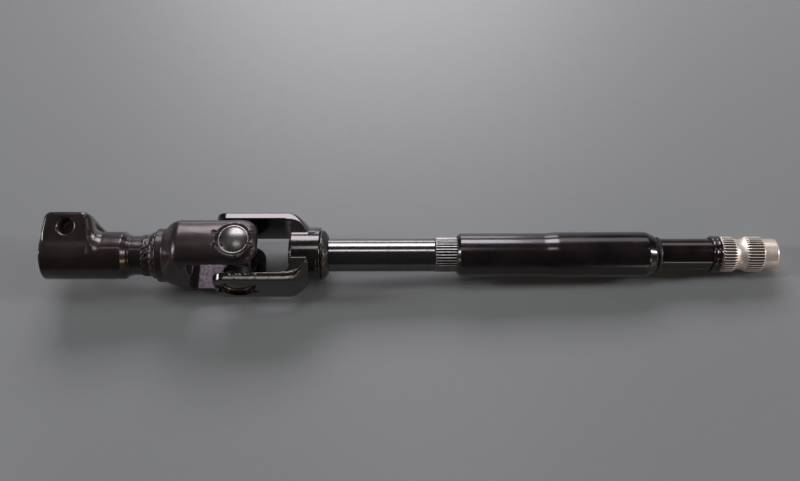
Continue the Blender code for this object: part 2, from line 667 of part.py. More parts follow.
def trunnion_pair(reach):
    """Two trunnions in line, with their shoulders and the holes for the thrust pins."""
    edge = CUP_CORNER
    hole = THRUST_PIN_RADIUS + BEARING_GAP
    deep = reach - THRUST_PIN_LENGTH - BEARING_GAP
    upper = [
        (CROSS_SHOULDER_REACH, CROSS_SHOULDER_RADIUS),
        (CROSS_SHOULDER_REACH, TRUNNION_RADIUS),
        (reach - edge, TRUNNION_RADIUS),
        (reach, TRUNNION_RADIUS - edge),
        (reach, hole),
        (deep, hole),
        (deep, 0),
    ]
    lower = [(-x, radius) for x, radius in reversed(upper)]
    return turned(lower + upper, TRUNNION_SEGMENTS)


def make_cross(body):
    """The cross: a rounded block with two pairs of trunnions at right angles."""
    side = CROSS_SHOULDER_REACH - CROSS_BLOCK_SETBACK
    corners = [(side, side), (-side, side), (-side, -side), (side, -side)]
    block = []
    for index, corner in enumerate(corners):
        block += rounded_corner(corners[index - 1], corner, corners[(index + 1) % 4], CROSS_BLOCK_CORNER)
    cross = node("joint_cross", extruded(block, CROSS_BLOCK_HALF_WIDTH, X_TO_Z), body, DARK_STEEL)
    shape_with(cross, trunnion_pair(trunnion_end(COUPLING_CUP_REACH)), "UNION", X_TO_Z)
    shape_with(cross, trunnion_pair(trunnion_end(FORK_CUP_REACH)), "UNION", X_TO_Y)


def roller_ring(length):
    """A full ring of needle rollers side by side, as one scalloped ring along X."""
    count = math.ceil(math.pi * ROLLER_PITCH_RADIUS / (ROLLER_RADIUS * 0.97))
    half_step = math.pi / count
    touch = math.sqrt(ROLLER_RADIUS**2 - (ROLLER_PITCH_RADIUS * math.sin(half_step)) ** 2)
    waist = ROLLER_PITCH_RADIUS * math.cos(half_step)
    outer, inner = [], []
    for roller in range(count):
        middle = 2 * half_step * roller
        for part in (-1, -0.45, 0.45):
            height = touch if part == -1 else ROLLER_RADIUS * 0.88
            base = waist if part == -1 else ROLLER_PITCH_RADIUS
            angle = middle + part * half_step
            outer.append(((base + height) * math.cos(angle), (base + height) * math.sin(angle)))
            inner.append(((base - height) * math.cos(angle), (base - height) * math.sin(angle)))
    bm = bmesh.new()
    rings = []
    for outline, x in ((outer, 0), (inner, 0), (inner, length), (outer, length)):
        rings.append([bm.verts.new((x, y, z)) for y, z in outline])
    for ring, following in zip(rings, rings[1:] + rings[:1]):
        for index in range(len(ring)):
            after = (index + 1) % len(ring)
            bm.faces.new((ring[index], ring[after], following[after], following[index]))
    bmesh.ops.recalc_face_normals(bm, faces=bm.faces)
    return bm


def make_bearing(label, cup_body, cross_body, cup_reach, turn):
    """One trunnion's bearing: cup, needle rollers, seal and thrust pin, along X before the turn."""
    top = cup_reach - CUP_DOME_HEIGHT
    cup_floor = top - CUP_FLOOR
    corner = CUP_CORNER
    cup = [
        (CUP_MOUTH, CUP_BORE_RADIUS),
        (CUP_MOUTH, CUP_RADIUS),
        (top - corner, CUP_RADIUS),
        (top, CUP_RADIUS - corner),
        (cup_reach - CUP_DOME_HEIGHT * 0.3, CUP_RADIUS * 0.55),
        (cup_reach, 0),
    ]
    inside = [(cup_floor, 0), (cup_floor, CUP_BORE_RADIUS), (CUP_MOUTH, CUP_BORE_RADIUS)]
    node(f"{label}_cup", turned(inside[:2] + cup, CUP_SEGMENTS), cup_body, BEARING_STEEL, turn)
    start = CUP_MOUTH + BEARING_GAP
    length = trunnion_end(cup_reach) - CUP_CORNER - start
    rollers = roller_ring(length)
    bmesh.ops.translate(rollers, verts=rollers.verts, vec=(start, 0, 0))
    node(f"{label}_rollers", rollers, cup_body, BEARING_STEEL, turn)
    foot = CROSS_SHOULDER_REACH + SEAT_GAP
    lip = TRUNNION_RADIUS + SEAT_GAP
    rim = CUP_RADIUS - CUP_WALL / 2
    seal = [
        (foot, lip),
        (foot, CROSS_SHOULDER_RADIUS),
        (foot + SEAL_THICKNESS / 2, rim),
        (foot + SEAL_THICKNESS, rim),
        (foot + SEAL_THICKNESS, lip + SEAT_GAP),
    ]
    node(f"{label}_seal", turned(seal, SEAL_SEGMENTS), cup_body, SEAL_RUBBER, turn)
    end = trunnion_end(cup_reach) + BEARING_GAP
    pin = [
        (end - THRUST_PIN_LENGTH, 0),
        (end - THRUST_PIN_LENGTH, THRUST_PIN_RADIUS),
        (end, THRUST_PIN_RADIUS),
        (end, THRUST_HEAD_RADIUS),
        (end + THRUST_HEAD_THICKNESS, THRUST_HEAD_RADIUS),
        (end + THRUST_HEAD_THICKNESS, 0),
    ]
    node(f"{label}_thrust_pin", turned(pin, PIN_SEGMENTS), cross_body, THRUST_PLASTIC, turn)


def main():
    """Builds the four bodies, each on the pivot that it moves on."""
    for thing in list(bpy.data.objects):
        bpy.data.objects.remove(thing, do_unlink=True)
    column = pivot("column_body", (0, 0, 0))
    shaft = pivot("shaft_body", (-JOINT_TO_COLUMN_FACE, 0, 0), column)
    cross = pivot("cross_body", (0, 0, 0), shaft)
    coupling = pivot("coupling_body", (0, 0, 0), cross)
    make_column_stub(column)
    make_end_collar(column)
    make_sleeve(column)
    make_splined_shaft(shaft)
    make_shaft_yoke(shaft)
    make_cross(cross)
    make_coupling_yoke(coupling)
    make_clamp(coupling)
    make_bearing("coupling_upper", coupling, cross, COUPLING_CUP_REACH, X_TO_Z)
    make_bearing("coupling_lower", coupling, cross, COUPLING_CUP_REACH, HALF_TURN @ X_TO_Z)
    make_bearing("shaft_left", shaft, cross, FORK_CUP_REACH, X_TO_Y)
    make_bearing("shaft_right", shaft, cross, FORK_CUP_REACH, HALF_TURN @ X_TO_Y)


main()
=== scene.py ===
"""Scene of a lower steering shaft: clamp, universal joint, splined shaft, sleeve and serrated end.

Every shape is worked out in millimetres, with x counted along the shaft from the centre of the
universal joint, and goes into its mesh in metres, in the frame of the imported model.
"""

import logging
import math
from collections.abc import Callable
from dataclasses import dataclass
from enum import Enum

import bpy
import numpy as np
from mathutils import Matrix, Vector

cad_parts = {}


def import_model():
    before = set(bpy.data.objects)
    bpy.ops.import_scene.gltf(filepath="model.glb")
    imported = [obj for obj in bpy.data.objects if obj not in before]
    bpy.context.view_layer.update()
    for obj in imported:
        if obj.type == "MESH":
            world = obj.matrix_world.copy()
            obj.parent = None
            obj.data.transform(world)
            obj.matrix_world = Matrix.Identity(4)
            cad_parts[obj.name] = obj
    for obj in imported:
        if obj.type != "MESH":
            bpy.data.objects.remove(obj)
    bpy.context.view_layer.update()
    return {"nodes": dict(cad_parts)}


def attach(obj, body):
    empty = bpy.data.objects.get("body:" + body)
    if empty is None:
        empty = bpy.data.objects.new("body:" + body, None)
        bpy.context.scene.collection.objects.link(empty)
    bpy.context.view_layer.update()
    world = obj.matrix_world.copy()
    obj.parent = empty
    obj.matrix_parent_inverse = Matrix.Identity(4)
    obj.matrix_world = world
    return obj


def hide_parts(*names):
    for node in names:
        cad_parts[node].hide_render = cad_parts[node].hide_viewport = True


log = logging.getLogger("steering_shaft")

Array = np.ndarray
Distance = Callable[[Array], Array]

MM = 0.001
JOINT_TO_COLUMN_FACE = 283.8
TOOTH_COUNT = 36


class Body(Enum):
    """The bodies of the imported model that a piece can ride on."""

    COLUMN = "column_end"
    SHAFT = "shaft"
    CROSS = "cross"
    COUPLING = "coupling"


class Way(Enum):
    """Where a shape turned about x points in the end: the columns are its x, y and z axes."""

    ALONG_X = ((1, 0, 0), (0, 1, 0), (0, 0, 1))
    ALONG_Z = ((0, 0, 1), (0, 1, 0), (-1, 0, 0))
    DOWN_Z = ((0, 0, -1), (0, -1, 0), (-1, 0, 0))
    ALONG_Y = ((0, 1, 0), (-1, 0, 0), (0, 0, 1))
    DOWN_Y = ((0, -1, 0), (-1, 0, 0), (0, 0, -1))

    def place(self, points: Array) -> Array:
        """Turns points so that their x axis points this way."""
        return points @ np.array(self.value, float)


# Meshes


def mesh_object(
    name: str, points: Array, quads: Array, triangles: Array, normals: Array | None = None,
) -> bpy.types.Object:
    """Makes a smooth mesh object from arrays, with its faces pointing outwards.

    The faces are turned round where the volume under them, the sum of the scalar triple
    products of their corners, comes out negative.

    Args:
        name: name of the object.
        points: corners in millimetres from the joint centre, n by 3.
        quads: corner numbers of the four-sided faces.
        triangles: corner numbers of the three-sided faces.
        normals: outward directions at the corners, or None to leave them to the faces.

    Returns:
        The new object, linked to the scene.
    """
    halves = np.concatenate([quads[:, :3], quads[:, [0, 2, 3]], triangles])
    a, b, c = (points[halves[:, k]] for k in range(3))
    if np.einsum("ij,ij->i", a, np.cross(b, c)).sum() < 0:
        quads, triangles = quads[:, ::-1], triangles[:, ::-1]
    mesh = bpy.data.meshes.new(name)
    mesh.vertices.add(len(points))
    placed = (points - np.array([JOINT_TO_COLUMN_FACE, 0, 0])) * MM
    mesh.vertices.foreach_set("co", placed.astype(np.float32).ravel())
    loops = np.concatenate([quads.ravel(), triangles.ravel()]).astype(np.int32)
    sizes = np.concatenate([np.full(len(quads), 4), np.full(len(triangles), 3)])
    starts = np.concatenate([[0], np.cumsum(sizes)[:-1]]).astype(np.int32)
    mesh.loops.add(len(loops))
    mesh.loops.foreach_set("vertex_index", loops)
    mesh.polygons.add(len(sizes))
    mesh.polygons.foreach_set("loop_start", starts)
    mesh.update(calc_edges=True)
    mesh.validate()
    mesh.shade_smooth()
    if normals is not None:
        mesh.normals_split_custom_set_from_vertices(normals.tolist())
    thing = bpy.data.objects.new(name, mesh)
    bpy.context.collection.objects.link(thing)
    return thing


def filleted(corners: list[tuple[float, float, float]], steps: int = 6, closed: bool = False) -> Array:
    """Rounds the corners of a profile: each corner gives way to an arc between its two sides.

    An arc's centre lies on the bisector at radius / sin(half angle) from the corner. A support
    point stands close to both ends of each arc, so that smooth shading stays in the arc.

    Args:
        corners: x, radius and fillet radius of each corner.
        steps: pieces of each arc.
        closed: whether the profile runs back to its first corner.

    Returns:
        The profile's points, n by 2.
    """
    count = len(corners)
    points: list[Array] = []
    for index, (x, radius, fillet) in enumerate(corners):
        here = np.array([x, radius])
        if fillet == 0 or (not closed and index in (0, count - 1)):
            points.append(here)
            continue
        before = np.array(corners[index - 1][:2]) - here
        after = np.array(corners[(index + 1) % count][:2]) - here
        room = min(np.linalg.norm(before), np.linalg.norm(after))
        before, after = before / np.linalg.norm(before), after / np.linalg.norm(after)
        half = math.acos(float(np.clip(before @ after, -1, 1))) / 2
        reach = fillet / math.tan(half)
        bisector = (before + after) / np.linalg.norm(before + after)
        centre = here + bisector * fillet / math.sin(half)
        support = min(0.35, max(room - reach, 0) * 0.3)
        start, end = here + before * reach - centre, here + after * reach - centre
        turn = math.pi - 2 * half
        if support > 0.01:
            points.append(here + before * (reach + support))
        for step in range(steps + 1):
            share = step / steps
            arm = start * math.sin((1 - share) * turn) + end * math.sin(share * turn)
            points.append(centre + arm / math.sin(turn))
        if support > 0.01:
            points.append(here + after * (reach + support))
    return np.array(points)


def divided(profile: Array, longest: float) -> Array:
    """Puts points on the long runs of a profile until none is longer than the given length."""
    runs = [profile[:1]]
    for start, end in zip(profile, profile[1:]):
        count = max(1, math.ceil(float(np.linalg.norm(end - start)) / longest))
        share = np.arange(1, count + 1)[:, None] / count
        runs.append(start + (end - start) * share)
    return np.concatenate(runs)


def turned(name: str, x: Array, radius: Array, way: Way = Way.ALONG_X) -> bpy.types.Object:
    """Turns a profile about the x axis: a point is (x, radius cos turn, radius sin turn).

    A profile that starts and ends on the axis closes in two poles, any other one runs round
    to its first row and closes to a ring.

    Args:
        name: name of the object.
        x: place of each row along the axis, or of each point of the grid.
        radius: distance from the axis, rows by turns.
        way: where the axis points in the end.

    Returns:
        The new object.
    """
    rows, turns = radius.shape
    angle = np.arange(turns) * (2 * math.pi / turns)
    along = np.broadcast_to(x if x.ndim == 2 else x[:, None], radius.shape)
    grid = np.stack([along, radius * np.cos(angle), radius * np.sin(angle)], axis=-1)
    solid = radius[0].max() < 1e-6
    if solid:
        points = np.concatenate([grid[0, :1], grid[1:-1].reshape(-1, 3), grid[-1, :1]])
        inner = np.arange((rows - 2) * turns).reshape(rows - 2, turns) + 1
        after = np.roll(inner, -1, axis=1)
        quads = np.stack([inner[:-1], after[:-1], after[1:], inner[1:]], axis=-1).reshape(-1, 4)
        first = np.stack([np.zeros(turns, int), after[0], inner[0]], axis=-1)
        last = np.stack([np.full(turns, len(points) - 1), inner[-1], after[-1]], axis=-1)
        triangles = np.concatenate([first, last])
    else:
        points = grid.reshape(-1, 3)
        inner = np.arange(rows * turns).reshape(rows, turns)
        after, below = np.roll(inner, -1, axis=1), np.roll(inner, -1, axis=0)
        corner = np.roll(after, -1, axis=0)
        quads = np.stack([inner, after, corner, below], axis=-1).reshape(-1, 4)
        triangles = np.zeros((0, 3), int)
    return mesh_object(name, way.place(points), quads, triangles)


def round_turned(name: str, profile: Array, turns: int, way: Way = Way.ALONG_X) -> bpy.types.Object:
    """Turns a plain profile, the same at every angle."""
    return turned(name, profile[:, 0], np.repeat(profile[:, 1:], turns, axis=1), way)


def marked(piece: bpy.types.Object, name: str, rule: Distance) -> bpy.types.Object:
    """Stores a number on every point of a piece, for its material to read.

    Args:
        piece: a piece made by mesh_object.
        name: name of the attribute.
        rule: gives the numbers from the points, in millimetres from the joint centre.

    Returns:
        The same piece.
    """
    places = np.empty(len(piece.data.vertices) * 3, np.float32)
    piece.data.vertices.foreach_get("co", places)
    points = places.reshape(-1, 3) / MM + np.array([JOINT_TO_COLUMN_FACE, 0, 0])
    layer = piece.data.attributes.new(name, "FLOAT", "POINT")
    layer.data.foreach_set("value", rule(points).astype(np.float32))
    return piece


def risen(x: Array | float, low: float, high: float) -> Array:
    """0 below low, 1 above high and a straight rise between them, either way round."""
    return np.clip((x - low) / (high - low), 0, 1)


def waves(points: Array, length: float, seed: int) -> Array:
    """Soft unevenness between -1 and 1: a mean of sines along six directions.

    Args:
        points: places in millimetres, n by 3.
        length: rough length of the waves.
        seed: which set of directions and phases.

    Returns:
        The height at each point.
    """
    chance = np.random.default_rng(seed)
    ways = chance.normal(size=(6, 3))
    ways /= np.linalg.norm(ways, axis=1, keepdims=True)
    pitch = 2 * math.pi / (length * chance.uniform(0.7, 1.5, 6))
    phase = chance.uniform(0, 2 * math.pi, 6)
    return np.sin(points @ (ways * pitch[:, None]).T + phase).mean(axis=1)


# Solids as signed distances, negative inside


def inset(corners: list[tuple[float, float]], amount: float) -> list[tuple[float, float]]:
    """Moves the sides of an outline inwards and meets them again in new corners."""
    points = np.array(corners, float)
    along = np.roll(points, -1, axis=0) - points
    area = float(np.cross(points, np.roll(points, -1, axis=0)).sum())
    inward = np.stack([-along[:, 1], along[:, 0]], axis=1) * math.copysign(1, area)
    inward /= np.linalg.norm(inward, axis=1, keepdims=True)
    reach = (inward * points).sum(axis=1) + amount
    found = []
    for index in range(len(points)):
        pair = np.array([inward[index - 1], inward[index]])
        found.append(tuple(np.linalg.solve(pair, [reach[index - 1], reach[index]])))
    return found


def outline(u: Array, v: Array, corners: list[tuple[float, float]], rounding: float = 0) -> Array:
    """Distance to an outline: the least one to its sides, negative where a ray crosses it oddly.

    Args:
        u: first coordinate of each point.
        v: second coordinate of each point.
        corners: the outline's corners.
        rounding: radius of its outer corners.

    Returns:
        The signed distance.
    """
    if rounding:
        corners = inset(corners, rounding)
    least = np.full(u.shape, np.inf)
    inside = np.zeros(u.shape, bool)
    for (au, av), (bu, bv) in zip(corners, corners[1:] + corners[:1]):
        du, dv = bu - au, bv - av
        pu, pv = u - au, v - av
        share = np.clip((pu * du + pv * dv) / (du * du + dv * dv), 0, 1)
        least = np.minimum(least, (pu - du * share) ** 2 + (pv - dv * share) ** 2)
        if dv != 0:
            inside ^= ((av > v) != (bv > v)) & (pu < du * pv / dv)
    return np.where(inside, -1.0, 1.0) * np.sqrt(least) - rounding


def joined(a: Array, b: Array, radius: float) -> Array:
    """Union with a round inner corner: distance to the corner of the two bands of that radius."""
    u, v = np.maximum(radius - a, 0), np.maximum(radius - b, 0)
    return np.maximum(radius, np.minimum(a, b)) - np.hypot(u, v)


def common(a: Array, b: Array, radius: float) -> Array:
    """Intersection with a round outer edge."""
    return -joined(-a, -b, radius)


def cut(a: Array, b: Array, radius: float) -> Array:
    """What is left of a without b, with a round edge."""
    return common(a, -b, radius)


def slope(solid: Distance, points: Array, step: float = 0.04) -> Array:
    """Direction in which the distance grows, from its values at a small tetrahedron's corners."""
    corners = np.array([[1, -1, -1], [-1, -1, 1], [-1, 1, -1], [1, 1, 1]], float)
    total = np.zeros_like(points)
    for corner in corners:
        total += corner * solid(points + corner * step)[:, None]
    return total / (4 * step)


def surface_net(name: str, solid: Distance, low: Array, high: Array, cell: float) -> bpy.types.Object:
    """Meshes the zero surface of a distance on a grid of cubes.

    Only blocks of the grid that the surface can reach are worked out. Each cube that the surface
    crosses gets one point, the mean of the crossings on its edges, moved down the slope on to
    the surface. Each grid edge that is crossed gets a face between its four cubes.

    Args:
        name: name of the object.
        solid: signed distance in millimetres.
        low: lowest corner of the grid.
        high: highest corner of the grid.
        cell: size of a cube.

    Returns:
        The new object, with normals along the slope.
    """
    block = 8
    blocks = np.ceil((high - low) / (cell * block)).astype(int) + 1
    base = np.stack(np.meshgrid(*[np.arange(n) for n in blocks], indexing="ij"), axis=-1)
    centres = low + (base.reshape(-1, 3) * block + (block - 1) / 2) * cell
    far = solid(centres)
    near = np.abs(far) < block * cell * 1.05
    shape = tuple(int(n) for n in blocks)
    values = np.broadcast_to(far.reshape(shape)[..., None, None, None], (*shape, block, block, block)).copy()
    offsets = np.stack(np.meshgrid(*[np.arange(block)] * 3, indexing="ij"), axis=-1).reshape(-1, 3)
    starts = base.reshape(-1, 3)[near] * block
    nodes = low + (starts[:, None, :] + offsets[None]).reshape(-1, 3) * cell
    values.reshape(-1, block**3)[near] = solid(nodes).reshape(-1, block**3)
    values = values.transpose(0, 3, 1, 4, 2, 5).reshape([n * block for n in shape])

    inside = values < 0
    nx, ny, nz = (n - 1 for n in values.shape)
    corners = [(i, j, k) for i in (0, 1) for j in (0, 1) for k in (0, 1)]
    count = np.zeros((nx, ny, nz), np.int8)
    for i, j, k in corners:
        count += inside[i : i + nx, j : j + ny, k : k + nz]
    cubes = np.argwhere((count > 0) & (count < 8))
    total, crossings = np.zeros((len(cubes), 3)), np.zeros(len(cubes))
    for corner in corners:
        for axis in range(3):
            if corner[axis]:
                continue
            step = np.eye(3, dtype=int)[axis]
            start = cubes + corner
            a = values[tuple(start.T)]
            b = values[tuple((start + step).T)]
            crossed = (a < 0) != (b < 0)
            share = np.where(crossed, a / np.where(a == b, 1, a - b), 0)
            total += np.where(crossed[:, None], start + step * share[:, None], 0)
            crossings += crossed
    points = low + total / crossings[:, None] * cell
    for _ in range(3):
        fall = slope(solid, points)
        steepness = np.maximum((fall**2).sum(axis=1), 0.2)
        move = fall * (solid(points) / steepness)[:, None]
        length = np.linalg.norm(move, axis=1, keepdims=True)
        points -= move * np.minimum(1, 0.6 * cell / np.maximum(length, 1e-9))
    normals = slope(solid, points)
    normals /= np.maximum(np.linalg.norm(normals, axis=1, keepdims=True), 1e-9)

    number = np.full((nx, ny, nz), -1)
    number[tuple(cubes.T)] = np.arange(len(cubes))
    faces = []
    for axis in range(3):
        a = inside
        b = np.roll(inside, -1, axis=axis)
        edges = np.argwhere(a != b)
        edges = edges[(edges >= 1).all(axis=1) & (edges < np.array([nx, ny, nz])).all(axis=1)]
        across, other = np.eye(3, dtype=int)[(axis + 1) % 3], np.eye(3, dtype=int)[(axis + 2) % 3]
        ring = [edges, edges - across, edges - across - other, edges - other]
        quad = np.stack([number[tuple(place.T)] for place in ring], axis=1)
        outwards = a[tuple(edges.T)]
        faces.append(np.where(outwards[:, None], quad, quad[:, ::-1]))
    quads = np.concatenate(faces)
    quads = quads[(quads >= 0).all(axis=1)]
    return mesh_object(name, points, quads, np.zeros((0, 3), int), normals)


# Materials


class Wire:
    """A socket of numbers: arithmetic on it adds Math nodes."""

    def __init__(self, finish: "Shader", socket: bpy.types.NodeSocket) -> None:
        """Keeps the socket and the shader that it belongs to."""
        self.finish = finish
        self.socket = socket

    def math(self, operation: str, *values: "Wire | float", clamp: bool = False) -> "Wire":
        """Adds a Math node on this socket and other values."""
        inputs = dict(enumerate((self, *values)))
        return self.finish.node("ShaderNodeMath", {"operation": operation, "use_clamp": clamp}, inputs)

    def __add__(self, other: "Wire | float") -> "Wire":
        """This plus the other."""
        return self.math("ADD", other)

    __radd__ = __add__

    def __mul__(self, other: "Wire | float") -> "Wire":
        """This times the other."""
        return self.math("MULTIPLY", other)

    __rmul__ = __mul__

    def __sub__(self, other: "Wire | float") -> "Wire":
        """This less the other."""
        return self.math("SUBTRACT", other)

    def __rsub__(self, other: float) -> "Wire":
        """The other less this."""
        return self.math("MULTIPLY_ADD", -1.0, other)

    def between(self, low: float, high: float) -> "Wire":
        """0 at low and 1 at high, with a soft rise between them."""
        settings = {"interpolation_type": "SMOOTHSTEP", "clamp": True}
        inputs = {"Value": self, "From Min": low, "From Max": high}
        return self.finish.node("ShaderNodeMapRange", settings, inputs)


class Shader:
    """A material under construction, with its Principled shader."""

    def __init__(self, name: str) -> None:
        """Makes a new material of that name."""
        self.material = bpy.data.materials.new(name)
        self.material.use_nodes = True
        self.tree = self.material.node_tree
        self.surface = self.tree.nodes["Principled BSDF"]

    def feed(self, socket: bpy.types.NodeSocket, value: object) -> None:
        """Links a wire or a socket to a socket, or sets its value."""
        if isinstance(value, Wire):
            self.tree.links.new(value.socket, socket)
        elif isinstance(value, bpy.types.NodeSocket):
            self.tree.links.new(value, socket)
        else:
            socket.default_value = value

    def node(
        self, kind: str, settings: dict[str, object], inputs: dict[str | int, object], output: str | int = 0,
    ) -> Wire:
        """Adds a node.

        Args:
            kind: the node's type.
            settings: its own settings, which are set first.
            inputs: values, wires or sockets for its inputs, by name or number.
            output: which output to hand back.

        Returns:
            The output as a wire.
        """
        node = self.tree.nodes.new(kind)
        for name, value in settings.items():
            setattr(node, name, value)
        for name, value in inputs.items():
            self.feed(node.inputs[name], value)
        return Wire(self, node.outputs[output])

    def places(self, scale: tuple[float, float, float] = (1, 1, 1)) -> Wire:
        """Object coordinates, stretched by a scale."""
        objects = self.node("ShaderNodeTexCoord", {}, {}, "Object")
        return self.node("ShaderNodeMapping", {}, {"Vector": objects, "Scale": scale})

    def noise(
        self, size_mm: float, detail: float = 3, stretch: tuple[float, float, float] = (1, 1, 1),
    ) -> Wire:
        """Noise between 0 and 1 with features of about a size in millimetres."""
        inputs = {"Vector": self.places(stretch), "Scale": 1 / (size_mm * MM), "Detail": detail}
        return self.node("ShaderNodeTexNoise", {}, inputs, "Fac")

    def mark(self, name: str) -> Wire:
        """A number stored on the points."""
        return self.node("ShaderNodeAttribute", {"attribute_name": name}, {}, "Fac")

    def mixed(self, share: Wire, first: tuple[float, ...] | Wire, second: tuple[float, ...] | Wire) -> Wire:
        """A colour between two colours."""
        settings = {"data_type": "RGBA", "blend_type": "MIX"}
        inputs = {0: share, 6: colour(first), 7: colour(second)}
        return self.node("ShaderNodeMix", settings, inputs, 2)

    def bump(self, height: Wire, depth_mm: float, before: Wire | None = None) -> Wire:
        """A Bump node for a height of that depth."""
        inputs = {"Height": height, "Distance": depth_mm * MM, "Strength": 1.0}
        if before:
            inputs["Normal"] = before
        return self.node("ShaderNodeBump", {}, inputs)

    def finished(self, **sockets: object) -> bpy.types.Material:
        """Feeds the Principled shader's sockets, named with underscores, and hands over the material."""
        for name, value in sockets.items():
            self.feed(self.surface.inputs[name.replace("_", " ")], colour(value))
        return self.material


def colour(value: object) -> object:
    """A colour with its fourth number, and anything else as it is."""
    return (*value, 1.0) if isinstance(value, tuple) and len(value) == 3 else value


@dataclass(frozen=True)
class Paint:
    """Black paint: an orange peel, patchy gloss, bare rough metal and matt recesses where marked; the bare mark
    also carries a painted highlight on the fork and painted shade on the yoke's ears.
    """

    name: str = "black_paint"
    slot: str = "black_paint"
    body: tuple[float, float, float] = (0.0050, 0.0038, 0.0038)
    dusty: tuple[float, float, float] = (0.0125, 0.0095, 0.0095)
    rough: tuple[float, float, float] = (0.30, 0.25, 0.32)
    sheen: tuple[float, float, float] = (1.0, 0.84, 0.90)
    gloss: float = 0.25
    patchiness: float = 0.10
    peel_mm: float = 0.9
    peel_depth: float = 0.016
    grain_depth: float = 0.005
    rough_gloss: float = 0.5
    coat: float = 0.3

    def material(self) -> bpy.types.Material:
        """Builds the paint."""
        shader = Shader(self.name)
        bare_and_painted_light, matt = shader.mark("bare_and_painted_light"), shader.mark("matt")
        patches = shader.noise(14, 4)
        peel = shader.noise(self.peel_mm, 2)
        grain = shader.noise(self.peel_mm * 0.25, 3)
        bump = shader.bump(grain, self.grain_depth, shader.bump(peel, self.peel_depth))
        bump = shader.bump(shader.noise(0.5, 3) * bare_and_painted_light, 0.08, bump)
        painted = patches * self.patchiness + (self.gloss - self.patchiness / 2)
        colours = shader.mixed(patches.between(0.35, 0.75), self.body, self.dusty)
        return shader.finished(
            # Where bare, rough metal colour; on the fork's inner edge this is a painted highlight, and its fading
            # on the yoke's ear tips is painted shade.
            Base_Color=shader.mixed(bare_and_painted_light * shader.noise(1.8, 3).between(0.05, 0.75), colours, self.rough),
            Roughness=painted + bare_and_painted_light * (self.rough_gloss - self.gloss) + matt * 0.5,
            Metallic=bare_and_painted_light * 0.6, Normal=bump, Coat_Weight=(1 - bare_and_painted_light) * (1 - matt) * self.coat,
            Coat_Roughness=0.08, Specular_IOR_Level=0.5, Specular_Tint=self.sheen,
        )


@dataclass(frozen=True)
class Steel:
    """Turned or ground steel: fine rings round the shaft, stains, darker grooves and worn tips."""

    name: str = "bare_steel"
    slot: str = "bare_steel"
    bright: tuple[float, float, float] = (0.86, 0.78, 0.72)
    stained: tuple[float, float, float] = (0.64, 0.54, 0.46)
    groove_tone: tuple[float, float, float] = (0.026, 0.016, 0.012)
    worn: tuple[float, float, float] = (0.85, 0.78, 0.72)
    gloss: float = 0.26
    ring_mm: float = 0.12
    ring_depth: float = 0.0008
    metallic: float = 0.78
    coat: float = 0.0

    def material(self) -> bpy.types.Material:
        """Builds the steel."""
        shader = Shader(self.name)
        groove, tip = shader.mark("groove"), shader.mark("tip")
        stains = shader.noise(3.5, 5)
        rings = shader.noise(self.ring_mm, 2, (1, 0.02, 0.02))
        colours = shader.mixed(stains.between(0.45, 0.8), self.bright, self.stained)
        colours = shader.mixed(tip, colours, self.worn)
        return shader.finished(
            # Darker colour in the grooves between the teeth.
            Base_Color=shader.mixed(groove, colours, self.groove_tone),
            Roughness=stains * 0.14 + (self.gloss - 0.06) + groove * 0.25 + tip * 0.14,
            Metallic=(1 - groove * 0.5) * self.metallic, Coat_Weight=self.coat,
            Normal=shader.bump(rings, self.ring_depth),
        )


@dataclass(frozen=True)
class Bead:
    """A weld under thin paint: dark brown scale with coppery patches where the metal shows."""

    name: str = "bead_paint"
    slot: str = "weld_paint"
    scale: tuple[float, float, float] = (0.012, 0.008, 0.007)
    copper: tuple[float, float, float] = (0.20, 0.12, 0.08)
    gloss: float = 0.34

    def material(self) -> bpy.types.Material:
        """Builds the weld's finish."""
        shader = Shader(self.name)
        metal = shader.noise(3.5, 3).between(0.64, 0.78)
        return shader.finished(
            Base_Color=shader.mixed(metal, self.scale, self.copper), Metallic=metal * 0.8,
            Roughness=shader.noise(1.1, 3) * 0.2 + (self.gloss - 0.1),
            Normal=shader.bump(shader.noise(0.8, 2), 0.02), Coat_Weight=0.1, Coat_Roughness=0.2,
        )


@dataclass(frozen=True)
class Soft:
    """Rubber or nylon: matt, with a fine moulded grain."""

    name: str = "seal_rubber"
    slot: str = "seal_rubber"
    body: tuple[float, float, float] = (0.014, 0.014, 0.015)
    worn: tuple[float, float, float] = (0.030, 0.029, 0.028)
    roughness: float = 0.68

    def material(self) -> bpy.types.Material:
        """Builds the rubber or nylon."""
        shader = Shader(self.name)
        grain = shader.noise(0.35, 4)
        return shader.finished(
            Base_Color=shader.mixed(shader.noise(4, 3), self.body, self.worn),
            Roughness=grain * 0.1 + (self.roughness - 0.05), Normal=shader.bump(grain, 0.02),
        )


FORGED_PAINT = Paint(body=(0.0125, 0.0090, 0.0086), dusty=(0.020, 0.015, 0.0145))
YOKE_PAINT = Paint(
    name="yoke_paint", body=(0.014, 0.011, 0.0105), dusty=(0.023, 0.018, 0.017), gloss=0.32, patchiness=0.16, grain_depth=0.012, coat=0.15, rough=(0.27, 0.23, 0.28),
)
TUBE_PAINT = Paint(name="tube_paint", sheen=(0.97, 0.90, 1.0), peel_mm=1.1, gloss=0.20, peel_depth=0.010)
FORK_PAINT = Paint(
    name="fork_paint", slot="gloss_paint", gloss=0.17, patchiness=0.06, peel_depth=0.006,
    grain_depth=0.003, rough=(0.55, 0.52, 0.48), rough_gloss=0.36, sheen=(1.0, 0.93, 0.95),
)
ROD_PAINT = Paint(
    name="rod_paint", slot="gloss_paint", gloss=0.14, patchiness=0.05, peel_depth=0.004,
    grain_depth=0.001,
)
BEAD_PAINT = Bead()
BARE_STEEL = Steel(gloss=0.41, bright=(0.80, 0.72, 0.66))
SHAFT_STEEL = Steel(
    name="dark_steel", slot="dark_steel", bright=(0.125, 0.118, 0.125), stained=(0.09, 0.08, 0.075),
    groove_tone=(0.004, 0.0035, 0.0035), worn=(0.52, 0.49, 0.50), gloss=0.13, metallic=0.9, coat=0.3,
    ring_depth=0.0002,
)
